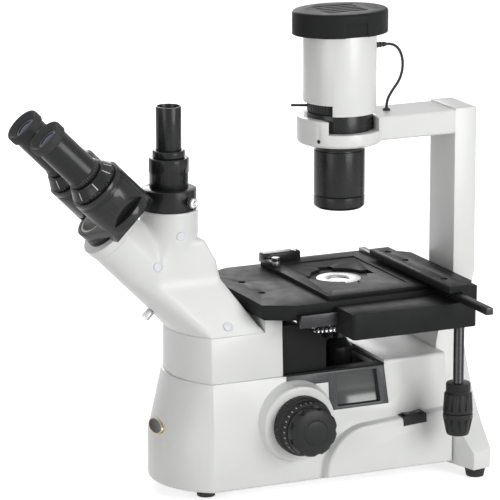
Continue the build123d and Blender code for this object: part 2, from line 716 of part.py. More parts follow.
# Fold mirrors: one under the objective and one under the column, on wedge blocks, and a third
# that plugs the top of the vertical bore in the head
RELAY_Z = HEAD_WAIST_Z - BEAM_RADIUS / 2
with BuildPart() as fold_mirrors:
    for y, lean in ((0, 1), (BEAM_Y, -1)):
        block_foot = FOOT_HEIGHT + PLATE_THICK
        reach = MIRROR_SIZE / 2
        block = side_outline(
            (y + lean * reach, block_foot),
            (y + lean * reach, MIRROR_Z + reach),
            (y - lean * reach, MIRROR_Z - reach),
            (y - lean * reach, block_foot),
        )
        extrude(to_extrude=block, amount=MIRROR_SIZE / 2, both=True)
    relay_reach = BEAM_RADIUS * cos(pi / 4) - FIT
    relay = side_outline(
        (BEAM_Y + relay_reach, RELAY_Z - relay_reach),
        (BEAM_Y + relay_reach, RELAY_Z + BEAM_RADIUS),
        (BEAM_Y - relay_reach, RELAY_Z + BEAM_RADIUS),
    )
    extrude(to_extrude=relay, amount=relay_reach, both=True)
fold_mirrors.part.label = "fold_mirrors"
export_step(fold_mirrors.part, "parts/fold_mirrors.step")

# Power board: transformer and lamp driver on four posts
with BuildPart() as power_board:
    board_z = FOOT_HEIGHT + PLATE_THICK + POST_HEIGHT
    with Locations((0, BOARD_Y, board_z)):
        Box(BOARD_WIDTH, BOARD_LENGTH, BOARD_THICK, align=UP)
    with Locations((0, BOARD_Y, FOOT_HEIGHT + PLATE_THICK)):
        with GridLocations(BOARD_WIDTH - 2 * POST_RADIUS, BOARD_LENGTH - 2 * POST_RADIUS, 2, 2):
            Cylinder(POST_RADIUS, POST_HEIGHT, align=UP)
    with Locations((-BOARD_WIDTH / 4, BOARD_Y, board_z + BOARD_THICK)):
        Box(COIL_SIZE, COIL_SIZE, COIL_SIZE, align=UP)
    with Locations((BOARD_WIDTH / 4, BOARD_Y, board_z + BOARD_THICK)):
        with GridLocations(0, 3 * CAPACITOR_RADIUS, 1, 2):
            Cylinder(CAPACITOR_RADIUS, CAPACITOR_HEIGHT, align=UP)
power_board.part.label = "power_board"
export_step(power_board.part, "parts/power_board.step")

# Mains inlet: flange, socket and three pins, set into the back of the pillar foot
with BuildPart() as power_inlet:
    with Locations((0, FOOT_BACK, INLET_Z)):
        Box(INLET_FLANGE_WIDTH, INLET_FLANGE, INLET_FLANGE_HEIGHT,
            align=(Align.CENTER, Align.MIN, Align.CENTER))
        Box(INLET_WIDTH, INLET_DEPTH, INLET_HEIGHT, align=(Align.CENTER, Align.MAX, Align.CENTER))
    with Locations((0, FOOT_BACK + INLET_FLANGE, INLET_Z)):
        Box(INLET_WIDTH - 2 * INLET_RIM, INLET_RECESS, INLET_HEIGHT - 2 * INLET_RIM,
            align=(Align.CENTER, Align.MAX, Align.CENTER), mode=Mode.SUBTRACT)
    pin_plane = Plane(
        origin=(0, FOOT_BACK + INLET_FLANGE - INLET_RECESS, INLET_Z),
        x_dir=(1, 0, 0), z_dir=(0, 1, 0),
    )
    with BuildSketch(pin_plane):
        with Locations((0, -INLET_RIM), (2 * INLET_RIM, INLET_RIM), (-2 * INLET_RIM, INLET_RIM)):
            Circle(INLET_PIN_RADIUS)
    extrude(amount=INLET_RECESS - INLET_FLANGE)
power_inlet.part.label = "power_inlet"
export_step(power_inlet.part, "parts/power_inlet.step")

# Mains switch: a frame let into the ledge, and the rocker that tilts in it
with BuildPart() as switch_frame:
    with BuildSketch(SWITCH_PLANE.offset(-SWITCH_DEPTH)):
        Rectangle(SWITCH_WIDTH, SWITCH_LENGTH)
        Rectangle(SWITCH_WIDTH - 2 * SWITCH_FRAME, SWITCH_LENGTH - 2 * SWITCH_FRAME,
                  mode=Mode.SUBTRACT)
    extrude(amount=SWITCH_DEPTH + SWITCH_FRAME_RISE)
    with BuildSketch(SWITCH_PLANE.offset(-SWITCH_DEPTH)):
        Rectangle(SWITCH_WIDTH, SWITCH_LENGTH)
    extrude(amount=SWITCH_FRAME)
switch_frame.part.label = "switch_frame"
export_step(switch_frame.part, "parts/switch_frame.step")

ROCKER_LENGTH = SWITCH_LENGTH - 2 * SWITCH_FRAME - 2 * GAP
ROCKER_WIDTH = SWITCH_WIDTH - 2 * SWITCH_FRAME - 2 * GAP
ROCKER_SECTION = Plane(
    origin=SWITCH_PLANE.origin, x_dir=SWITCH_PLANE.y_dir, z_dir=SWITCH_PLANE.x_dir
)
with BuildPart() as power_rocker:
    with BuildSketch(ROCKER_SECTION):
        with BuildLine():
            Polyline(
                (-ROCKER_LENGTH / 2 + GAP, ROCKER_RISE),
                (0, ROCKER_RISE / 2),
                (ROCKER_LENGTH / 2 - GAP, ROCKER_RISE),
                (ROCKER_LENGTH / 2 - 2 * SWITCH_FRAME, -SWITCH_DEPTH / 4),
                (0, -SWITCH_DEPTH + 2 * SWITCH_FRAME),
                (-ROCKER_LENGTH / 2 + 2 * SWITCH_FRAME, -SWITCH_DEPTH / 4),
                close=True,
            )
        make_face()
    extrude(amount=ROCKER_WIDTH / 2, both=True)
    with BuildSketch(ROCKER_SECTION):
        Circle(SWITCH_FRAME / 2)
    extrude(amount=(ROCKER_WIDTH + GAP) / 2, both=True)
power_rocker.part.label = "power_rocker"
export_step(power_rocker.part, "parts/power_rocker.step")

# Focus drive: coarse knobs on a hollow shaft with the pinion, fine knobs on the rod inside it
COARSE_START = BOSS_FACE + GAP
COARSE_END = COARSE_START + COARSE_LENGTH
FINE_START = COARSE_END + GAP
with BuildPart() as coarse_knobs:
    for side in (1, -1):
        knob = turned_outline(
            (COARSE_SHAFT_RADIUS - OVERRUN, side * COARSE_START),
            (COARSE_RADIUS - GRIP_DEPTH, side * COARSE_START),
            (COARSE_RADIUS, side * (COARSE_START + GRIP_DEPTH)),
            (COARSE_RADIUS, side * (COARSE_START + COARSE_LENGTH / 2)),
            (COARSE_FACE_RADIUS, side * (COARSE_END - GRIP_DEPTH)),
            (COARSE_FACE_RADIUS - GRIP_DEPTH, side * COARSE_END),
            (COARSE_SHAFT_RADIUS - OVERRUN, side * COARSE_END),
        )
        revolve(knob, axis=Axis.Z)
        with BuildSketch(Plane.XY.offset(side * COARSE_START)):
            with PolarLocations(COARSE_RADIUS, COARSE_GRIPS):
                Circle(GRIP_DEPTH / 2)
        extrude(amount=side * COARSE_LENGTH / 2, mode=Mode.SUBTRACT)
    Cylinder(COARSE_SHAFT_RADIUS, 2 * COARSE_END)
    Cylinder(PINION_RADIUS, 2 * PINION_HALF)
    Cylinder(FINE_SHAFT_RADIUS + FIT, 2 * (COARSE_END + OVERRUN), mode=Mode.SUBTRACT)
coarse_knobs.part.location = FOCUS_PLANE.location
coarse_knobs.part.label = "coarse_knobs"
export_step(coarse_knobs.part, "parts/coarse_knobs.step")

with BuildPart() as fine_knobs:
    Cylinder(FINE_SHAFT_RADIUS, 2 * (FINE_START + OVERRUN))
    for side in (1, -1):
        fine_end = FINE_START + FINE_LENGTH
        with BuildSketch(Plane.XZ):
            with BuildLine():
                Polyline(
                    (0, side * fine_end),
                    (0, side * FINE_START),
                    (FINE_RADIUS, side * FINE_START),
                    (FINE_RADIUS, side * (FINE_START + FINE_LENGTH / 2)),
                    (FINE_FACE_RADIUS, side * (fine_end - FINE_DOME)),
                )
                RadiusArc(
                    (FINE_FACE_RADIUS, side * (fine_end - FINE_DOME)),
                    (0, side * fine_end),
                    -side * (FINE_FACE_RADIUS ** 2 + FINE_DOME ** 2) / (2 * FINE_DOME),
                )
            make_face()
        revolve(axis=Axis.Z)
        with BuildSketch(Plane.XY.offset(side * (FINE_START + 2 * FINE_DOME))):
            with PolarLocations(FINE_RADIUS + FLUTE_RADIUS / 2, FINE_FLUTES):
                Circle(FLUTE_RADIUS)
        extrude(amount=side * FINE_LENGTH, mode=Mode.SUBTRACT)
fine_knobs.part.location = FOCUS_PLANE.location
fine_knobs.part.label = "fine_knobs"
export_step(fine_knobs.part, "parts/fine_knobs.step")

# Coarse guide: two rails standing on the base plate; the coarse slide runs between them
SLIDE_FRONT = FOCUS_Y + PINION_RADIUS + GAP
SLIDE_BACK = SLIDE_FRONT + SLIDE_THICK
BASE_FLOOR = FOOT_HEIGHT + PLATE_THICK
with BuildPart() as focus_guide:
    rail_x = SLIDE_HALF + GAP + RAIL_THICK / 2
    with Locations((rail_x, (SLIDE_FRONT + SLIDE_BACK) / 2, BASE_FLOOR),
                   (-rail_x, (SLIDE_FRONT + SLIDE_BACK) / 2, BASE_FLOOR)):
        Box(RAIL_THICK, SLIDE_THICK, RAIL_TOP_Z - BASE_FLOOR, align=UP)
    with Locations((0, (SLIDE_FRONT + SLIDE_BACK) / 2, BASE_FLOOR)):
        Box(2 * (SLIDE_HALF + GAP + RAIL_THICK), SLIDE_THICK, GUIDE_FOOT, align=UP)
focus_guide.part.label = "focus_guide"
export_step(focus_guide.part, "parts/focus_guide.step")

with BuildPart() as coarse_slide:
    with Locations((0, (SLIDE_FRONT + SLIDE_BACK) / 2, SLIDE_FOOT_Z)):
        Box(2 * SLIDE_HALF, SLIDE_THICK, SLIDE_TOP_Z - SLIDE_FOOT_Z, align=UP)
coarse_slide.part.label = "coarse_slide"
export_step(coarse_slide.part, "parts/coarse_slide.step")

# Nosepiece: the turret leans so that the objective in use stands upright on the optical axis
TILT = radians(TURRET_TILT)
TURRET_CENTRE = (-SEAT_CIRCLE * cos(TILT), 0, TURRET_SEAT_Z - SEAT_CIRCLE * sin(TILT))
TURRET_PLANE = Plane(
    origin=TURRET_CENTRE, x_dir=(cos(TILT), 0, sin(TILT)), z_dir=(-sin(TILT), 0, cos(TILT))
)
BACK_PLATE_TOP = -(TURRET_THICK + GAP)
FINE_SLIDE_FRONT = SLIDE_BACK + GAP
FINE_SLIDE_BACK = FINE_SLIDE_FRONT + FINE_SLIDE_THICK
with BuildPart() as nosepiece_arm:
    light_tube = turned_outline(
        (0, LIGHT_TUBE_FOOT_Z),
        (LIGHT_TUBE_RADIUS, LIGHT_TUBE_FOOT_Z),
        (LIGHT_TUBE_RADIUS, LIGHT_TUBE_FOOT_Z + LIGHT_TUBE_LENGTH),
        (LIGHT_NECK_RADIUS, LIGHT_TUBE_FOOT_Z + LIGHT_TUBE_LENGTH + LIGHT_CONE_LENGTH),
        (LIGHT_NECK_RADIUS, TURRET_SEAT_Z),
        (0, TURRET_SEAT_Z),
    )
    revolve(light_tube, axis=Axis.Z)
    split(bisect_by=TURRET_PLANE.offset(BACK_PLATE_TOP), keep=Keep.BOTTOM)
    with BuildSketch(TURRET_PLANE.offset(BACK_PLATE_TOP)):
        Circle(BACK_PLATE_RADIUS)
        with Locations((0, FINE_SLIDE_BACK / 2)):
            Rectangle(2 * ARM_HALF, -FINE_SLIDE_BACK + FINE_SLIDE_THICK / 2)
    extrude(amount=-BACK_PLATE_THICK)
    with BuildSketch(TURRET_PLANE.offset(BACK_PLATE_TOP)):
        Circle(TURRET_PIN_RADIUS)
    extrude(amount=TURRET_THICK)
    with Locations((TURRET_CENTRE[0], (FINE_SLIDE_FRONT + FINE_SLIDE_BACK) / 2, FINE_SLIDE_FOOT_Z)):
        Box(2 * (ARM_HALF + GAP), FINE_SLIDE_THICK, SLIDE_TOP_Z - FINE_SLIDE_FOOT_Z, align=UP)
    with Locations((0, 0, LIGHT_TUBE_FOOT_Z - OVERRUN)):
        Cylinder(LIGHT_TUBE_BORE, TURRET_SEAT_Z - LIGHT_TUBE_FOOT_Z, align=UP, mode=Mode.SUBTRACT)
nosepiece_arm.part.label = "nosepiece_arm"
export_step(nosepiece_arm.part, "parts/nosepiece_arm.step")

OBJECTIVE_COUNT = len(OBJECTIVE_LENGTHS)
OBJECTIVE_STEP = 360 / OBJECTIVE_COUNT
CONE_TOP = (SEAT_CIRCLE - TURRET_CAP_RADIUS) * tan(TILT)
CONE_EDGE = (SEAT_CIRCLE - TURRET_RADIUS) * tan(TILT)
with BuildPart() as turret:
    disc = turned_outline(
        (0, -TURRET_THICK),
        (TURRET_RADIUS, -TURRET_THICK),
        (TURRET_RADIUS, CONE_EDGE),
        (TURRET_CAP_RADIUS, CONE_TOP),
        (0, CONE_TOP),
    )
    revolve(disc, axis=Axis.Z)
    with Locations((0, 0, -TURRET_THICK)):
        with PolarLocations(TURRET_RADIUS, TURRET_GRIPS):
            Cylinder(GRIP_DEPTH / 2, 2 * TURRET_THICK, mode=Mode.SUBTRACT)
    with Locations((0, 0, -TURRET_THICK - OVERRUN)):
        Cylinder(TURRET_PIN_RADIUS + FIT, TURRET_THICK + OVERRUN + GAP, align=UP, mode=Mode.SUBTRACT)
    with PolarLocations(SEAT_CIRCLE, OBJECTIVE_COUNT):
        Cylinder(OBJECTIVE_THREAD_RADIUS - OBJECTIVE_NECK, 3 * TURRET_THICK, mode=Mode.SUBTRACT)
turret.part.location = TURRET_PLANE.location
turret.part.label = "turret"
export_step(turret.part, "parts/turret.step")

with BuildPart() as objectives:
    for number, length in enumerate(OBJECTIVE_LENGTHS):
        turn = radians(number * OBJECTIVE_STEP)
        seat = TURRET_PLANE.from_local_coords(
            Vector(SEAT_CIRCLE * cos(turn), SEAT_CIRCLE * sin(turn), 0)
        )
        radial = TURRET_PLANE.x_dir * cos(turn) + TURRET_PLANE.y_dir * sin(turn)
        lean = TURRET_PLANE.z_dir * cos(TILT) + radial * sin(TILT)
        barrel = turned_outline(
            (0, 0),
            (OBJECTIVE_THREAD_RADIUS, 0),
            (OBJECTIVE_THREAD_RADIUS, 2 * OBJECTIVE_NECK),
            (OBJECTIVE_RADIUS, 3 * OBJECTIVE_NECK),
            (OBJECTIVE_RADIUS, length / 2),
            (OBJECTIVE_RADIUS - OBJECTIVE_NECK, length / 2 + OBJECTIVE_NECK),
            (OBJECTIVE_RADIUS - OBJECTIVE_NECK, length - 3 * OBJECTIVE_NECK),
            (OBJECTIVE_TIP_RADIUS, length - OBJECTIVE_NECK / 2),
            (OBJECTIVE_LENS_RADIUS, length),
            (0, length),
        )
        seat_plane = Plane(origin=seat, z_dir=lean)
        with BuildPart(mode=Mode.PRIVATE) as single:
            revolve(barrel, axis=Axis.Z)
        add(seat_plane.location * single.part)
objectives.part.label = "objectives"
export_step(objectives.part, "parts/objectives.step")

# Fixed stage: a plate with a counterbore for the ring and room underneath for the objectives
STAGE_OUTLINE = (
    (STAGE_FRONT_HALF, STAGE_FRONT),
    (STAGE_HALF, STAGE_SHOULDER_Y),
    (STAGE_HALF, STAGE_BACK_SHOULDER_Y),
    (STAGE_BACK_HALF, STAGE_BACK),
)
with BuildPart() as fixed_stage:
    with BuildSketch(Plane.XY.offset(STAGE_Z)) as stage_plan:
        with BuildLine():
            Polyline(*STAGE_OUTLINE, *[(-x, y) for x, y in reversed(STAGE_OUTLINE)], close=True)
        make_face()
    extrude(amount=-STAGE_PLATE)
    with BuildSketch(Plane.XY.offset(STAGE_FOOT_Z)):
        offset(stage_plan.sketch, amount=-STAGE_LIP, kind=Kind.INTERSECTION)
    extrude(amount=STAGE_LIP)
    with Locations((RELIEF_X, 0, STAGE_FOOT_Z - OVERRUN)):
        Cylinder(RELIEF_RADIUS, STAGE_PLATE + STAGE_LIP - STAGE_WEB + OVERRUN, align=UP,
                 mode=Mode.SUBTRACT)
    with Locations((0, 0, STAGE_Z)):
        CounterBoreHole(STAGE_HOLE_RADIUS, INSERT_RADIUS, INSERT_THICK)
    with Locations((STAGE_SCREW_X, STAGE_SCREW_Y, STAGE_Z), (-STAGE_SCREW_X, STAGE_SCREW_Y, STAGE_Z)):
        CounterBoreHole(SCREW_RADIUS, SCREW_HEAD_RADIUS, 2 * SCREW_HEAD)
fixed_stage.part.label = "fixed_stage"
export_step(fixed_stage.part, "parts/fixed_stage.step")

with BuildPart() as stage_insert:
    with BuildSketch(Plane.XY.offset(STAGE_Z - INSERT_THICK)):
        Circle(INSERT_RADIUS)
        Circle(INSERT_HOLE_RADIUS, mode=Mode.SUBTRACT)
    extrude(amount=INSERT_THICK)
    chamfer(stage_insert.edges().group_by(Axis.Z)[-1].sort_by(SortBy.LENGTH)[0], GRIP_DEPTH)
stage_insert.part.label = "stage_insert"
export_step(stage_insert.part, "parts/stage_insert.step")

# Stage guide: a T rail along the near edge of the stage
GUIDE_NECK_Z = STAGE_FOOT_Z + STAGE_LIP + GAP
with BuildPart() as stage_guide:
    guide_length = STAGE_BACK_SHOULDER_Y - STAGE_SHOULDER_Y
    with Locations((STAGE_HALF, (STAGE_BACK_SHOULDER_Y + STAGE_SHOULDER_Y) / 2, GUIDE_NECK_Z)):
        Box(GUIDE_NECK, guide_length, GUIDE_NECK_HEIGHT, align=(Align.MIN, Align.CENTER, Align.MIN))
    with Locations((STAGE_HALF + GUIDE_NECK, (STAGE_BACK_SHOULDER_Y + STAGE_SHOULDER_Y) / 2,
                    GUIDE_TOP_Z)):
        Box(GUIDE_HEAD, guide_length, GUIDE_HEAD_HEIGHT, align=(Align.MIN, Align.CENTER, Align.MAX))
stage_guide.part.label = "stage_guide"
export_step(stage_guide.part, "parts/stage_guide.step")

# Y carriage: runs on the guide, with a raised block behind that carries the bar
SADDLE_FAR = STAGE_HALF + GAP
SADDLE_BLOCK_Z = STAGE_Z + 2 * GAP
with BuildPart() as y_carriage:
    with Locations((SADDLE_FAR, SADDLE_FRONT, SADDLE_FOOT_Z)):
        Box(SADDLE_NEAR - SADDLE_FAR, SADDLE_BACK - SADDLE_FRONT, SADDLE_TOP_Z - SADDLE_FOOT_Z,
            align=(Align.MIN, Align.MIN, Align.MIN))
    chamfer(y_carriage.edges().filter_by(Axis.Z).group_by(Axis.X)[-1], 2 * GRIP_DEPTH)
    with Locations((SADDLE_FAR, SADDLE_BLOCK_FRONT, SADDLE_TOP_Z)):
        Box(SADDLE_NEAR - SADDLE_FAR, BAR_BACK - SADDLE_BLOCK_FRONT, SADDLE_BLOCK_Z - SADDLE_TOP_Z,
            align=(Align.MIN, Align.MIN, Align.MIN))
    with Locations((SADDLE_FAR, BAR_BACK, SADDLE_TOP_Z)):
        Box(SADDLE_NEAR - SADDLE_FAR, SADDLE_BACK - BAR_BACK, SADDLE_CREST_Z - SADDLE_TOP_Z,
            align=(Align.MIN, Align.MIN, Align.MIN))
    run = SADDLE_BACK - SADDLE_FRONT + 2 * OVERRUN
    with Locations((SADDLE_FAR - OVERRUN, SADDLE_FRONT - OVERRUN, GUIDE_NECK_Z - GAP)):
        Box(GUIDE_NECK + OVERRUN, run, GUIDE_NECK_HEIGHT + 2 * GAP,
            align=(Align.MIN, Align.MIN, Align.MIN), mode=Mode.SUBTRACT)
    with Locations((STAGE_HALF + GUIDE_NECK - GAP, SADDLE_FRONT - OVERRUN, GUIDE_TOP_Z + GAP)):
        Box(GUIDE_HEAD + 2 * GAP, run, GUIDE_HEAD_HEIGHT + 2 * GAP,
            align=(Align.MIN, Align.MIN, Align.MAX), mode=Mode.SUBTRACT)
    with Locations((DRIVE_X, DRIVE_Y, SADDLE_FOOT_Z - OVERRUN)):
        Cylinder(DRIVE_TUBE_RADIUS + FIT, SADDLE_TOP_Z - SADDLE_FOOT_Z, align=UP, mode=Mode.SUBTRACT)
        Cylinder(DRIVE_ROD_RADIUS + FIT, BAR_TOP_Z - SADDLE_FOOT_Z, align=UP, mode=Mode.SUBTRACT)
    with Locations((DRIVE_X, DRIVE_Y, SADDLE_BLOCK_Z)):
        Cylinder(DRIVE_Y - RAIL_BACK + OVERRUN, RAIL_HEIGHT + GAP, align=UP, mode=Mode.SUBTRACT)
y_carriage.part.label = "y_carriage"
export_step(y_carriage.part, "parts/y_carriage.step")

# Guide bar across the stage: a back wall and a top that cover the sliding rail
with BuildPart() as guide_bar:
    rail_top = SADDLE_BLOCK_Z + RAIL_HEIGHT + GAP
    bar_section = side_outline(
        (BAR_BACK, SADDLE_BLOCK_Z),
        (BAR_BACK, BAR_TOP_Z),
        (BAR_FRONT, BAR_TOP_Z),
        (BAR_FRONT, rail_top),
        (RAIL_BACK + GAP, rail_top),
        (RAIL_BACK + GAP, SADDLE_BLOCK_Z),
    )
    extrude(to_extrude=Pos(BAR_FAR, 0, 0) * bar_section, amount=BAR_NEAR - BAR_FAR)
    chamfer(guide_bar.edges().filter_by(Axis.X).group_by(Axis.Z)[-1], GRIP_DEPTH)
    with Locations((DRIVE_X, DRIVE_Y, SADDLE_BLOCK_Z - OVERRUN)):
        Cylinder(DRIVE_Y - RAIL_BACK + OVERRUN, rail_top - SADDLE_BLOCK_Z + OVERRUN, align=UP,
                 mode=Mode.SUBTRACT)
    screw_span = (BAR_NEAR - BAR_FAR) / 3
    screw_line = (BAR_FRONT + BAR_BACK) / 2
    with Locations((BAR_FAR + screw_span / 3, screw_line, BAR_TOP_Z),
                   (BAR_FAR + screw_span, screw_line, BAR_TOP_Z),
                   (DRIVE_X - DRIVE_KNOB_RADIUS, screw_line, BAR_TOP_Z)):
        CounterBoreHole(SCREW_RADIUS, SCREW_HEAD_RADIUS, SCREW_HEAD, BAR_TOP_THICK)
guide_bar.part.label = "guide_bar"
export_step(guide_bar.part, "parts/guide_bar.step")

# X slide: the long rail under the bar, with its rack face towards the pinion
with BuildPart() as x_slide:
    rail_front = RAIL_BACK - RAIL_WIDTH
    with Locations((RAIL_FAR, rail_front, SADDLE_BLOCK_Z)):
        Box(RAIL_NEAR - RAIL_FAR, RAIL_WIDTH, RAIL_HEIGHT, align=(Align.MIN, Align.MIN, Align.MIN))
    chamfer(x_slide.edges().filter_by(Axis.X).group_by(Axis.Z)[-1], GRIP_DEPTH)
x_slide.part.label = "x_slide"
export_step(x_slide.part, "parts/x_slide.step")

CARRIER_TOP_Z = SADDLE_BLOCK_Z - GAP + CARRIER_THICK
CLAMP_FOOT_Z = CARRIER_TOP_Z + GAP
CLAMP_PIVOT = (CLAMP_BLOCK_FAR + CLAMP_BLOCK_WIDTH / 2, CLAMP_BLOCK_BACK - CLAMP_BLOCK_WIDTH / 2)

# Specimen plate: fixed to the rail, open in the middle for the ring of the stage
with BuildPart() as specimen_plate:
    plate_centre = (CARRIER_FAR + CARRIER_NEAR) / 2
    with BuildSketch(Plane.XY.offset(SADDLE_BLOCK_Z - GAP)) as carrier_plan:
        with Locations((plate_centre, (CARRIER_FRONT + rail_front) / 2)):
            RectangleRounded(CARRIER_NEAR - CARRIER_FAR, rail_front - CARRIER_FRONT,
                             2 * GRIP_DEPTH)
        Circle(CARRIER_HOLE_RADIUS, mode=Mode.SUBTRACT)
        Rectangle(2 * CARRIER_SLOT_REACH, 2 * CARRIER_SLOT_HALF, mode=Mode.SUBTRACT)
        Rectangle(2 * CARRIER_SLOT_HALF, 2 * CARRIER_SLOT_REACH, mode=Mode.SUBTRACT)
    extrude(amount=CARRIER_THICK)
    tray_half = CARRIER_NEAR - CARRIER_SLOT_HALF
    with Locations((plate_centre, (CARRIER_FRONT + rail_front) / 2,
                    SADDLE_BLOCK_Z - GAP + CARRIER_THICK - CARRIER_STEP)):
        Box(2 * tray_half - 3 * CARRIER_SLOT_HALF, rail_front - CARRIER_FRONT - 4 * CARRIER_SLOT_HALF,
            2 * CARRIER_STEP, align=UP, mode=Mode.SUBTRACT)
    with Locations((CLAMP_PIVOT[0], CLAMP_PIVOT[1], CARRIER_TOP_Z - CARRIER_STEP)):
        Cylinder(CLAMP_PIN_RADIUS, CLAMP_BLOCK_HEIGHT - OVERRUN, align=UP)
specimen_plate.part.label = "specimen_plate"
export_step(specimen_plate.part, "parts/specimen_plate.step")

# Specimen clamp: a lever block on the far corner of the plate, with a finger and its pin
with BuildPart() as specimen_clamp:
    with Locations((CLAMP_BLOCK_FAR, CLAMP_BLOCK_FRONT, CLAMP_FOOT_Z)):
        Box(CLAMP_BLOCK_WIDTH, CLAMP_BLOCK_BACK - CLAMP_BLOCK_FRONT, CLAMP_BLOCK_HEIGHT,
            align=(Align.MIN, Align.MIN, Align.MIN))
        Box(CLAMP_FINGER_X - CLAMP_BLOCK_FAR, CLAMP_FINGER_Y - CLAMP_BLOCK_FRONT + CLAMP_PIN_RADIUS,
            CLAMP_BLOCK_HEIGHT / 2, align=(Align.MIN, Align.MIN, Align.MIN))
    chamfer(specimen_clamp.edges().group_by(Axis.Z)[-1], GRIP_DEPTH)
    with Locations((CLAMP_FINGER_X, CLAMP_FINGER_Y, CLAMP_FOOT_Z)):
        Cylinder(2 * CLAMP_PIN_RADIUS, CLAMP_BLOCK_HEIGHT / 2 + 2 * CLAMP_PIN_RADIUS, align=UP)
    with Locations((CLAMP_PIVOT[0], CLAMP_PIVOT[1], CLAMP_FOOT_Z - OVERRUN)):
        Cylinder(CLAMP_PIN_RADIUS + FIT, CLAMP_BLOCK_HEIGHT, align=UP, mode=Mode.SUBTRACT)
specimen_clamp.part.label = "specimen_clamp"
export_step(specimen_clamp.part, "parts/specimen_clamp.step")

# Stage drive: the upper knob turns the tube for Y, the lower one the rod inside it for X
with BuildPart() as y_drive_knob:
    with Locations((DRIVE_X, DRIVE_Y, DRIVE_SPLIT_Z)):
        Cylinder(DRIVE_TUBE_RADIUS, SADDLE_TOP_Z - 2 * OVERRUN - DRIVE_SPLIT_Z, align=UP)
    y_knob = turned_outline(
        (0, DRIVE_SPLIT_Z),
        (DRIVE_KNOB_RADIUS, DRIVE_SPLIT_Z),
        (DRIVE_KNOB_TOP_RADIUS, DRIVE_COLLAR_FOOT_Z),
        (DRIVE_COLLAR_RADIUS, DRIVE_COLLAR_FOOT_Z),
        (DRIVE_COLLAR_RADIUS, DRIVE_COLLAR_TOP_Z),
        (0, DRIVE_COLLAR_TOP_Z),
    )
    with Locations((DRIVE_X, DRIVE_Y, 0)):
        add(revolve(y_knob, axis=Axis.Z, mode=Mode.PRIVATE))
        with PolarLocations(DRIVE_KNOB_RADIUS + GRIP_DEPTH, DRIVE_FLUTES):
            with Locations((0, 0, DRIVE_SPLIT_Z + 2 * GRIP_DEPTH)):
                Cylinder(2 * GRIP_DEPTH, DRIVE_COLLAR_FOOT_Z - DRIVE_SPLIT_Z - 6 * GRIP_DEPTH,
                         align=UP, mode=Mode.SUBTRACT)
        with Locations((0, 0, DRIVE_SPLIT_Z - OVERRUN)):
            Cylinder(DRIVE_ROD_RADIUS + FIT, BAR_TOP_Z - DRIVE_SPLIT_Z, align=UP, mode=Mode.SUBTRACT)
y_drive_knob.part.label = "y_drive_knob"
export_step(y_drive_knob.part, "parts/y_drive_knob.step")

with BuildPart() as x_drive_knob:
    x_knob = turned_outline(
        (0, DRIVE_FOOT_Z),
        (DRIVE_KNOB_FOOT_RADIUS - GRIP_DEPTH, DRIVE_FOOT_Z),
        (DRIVE_KNOB_FOOT_RADIUS, DRIVE_FOOT_Z + GRIP_DEPTH),
        (DRIVE_KNOB_RADIUS, DRIVE_SPLIT_Z - 4 * GRIP_DEPTH),
        (DRIVE_KNOB_RADIUS, DRIVE_SPLIT_Z - GAP),
        (0, DRIVE_SPLIT_Z - GAP),
    )
    with Locations((DRIVE_X, DRIVE_Y, 0)):
        add(revolve(x_knob, axis=Axis.Z, mode=Mode.PRIVATE))
    with Locations((DRIVE_X, DRIVE_Y, DRIVE_SPLIT_Z - OVERRUN)):
        Cylinder(DRIVE_ROD_RADIUS, SADDLE_BLOCK_Z - DRIVE_SPLIT_Z + RAIL_HEIGHT, align=UP)
    with Locations((DRIVE_X, DRIVE_Y, SADDLE_BLOCK_Z + GAP)):
        Cylinder(DRIVE_Y - RAIL_BACK - GAP, RAIL_HEIGHT - GAP, align=UP)
x_drive_knob.part.label = "x_drive_knob"
export_step(x_drive_knob.part, "parts/x_drive_knob.step")

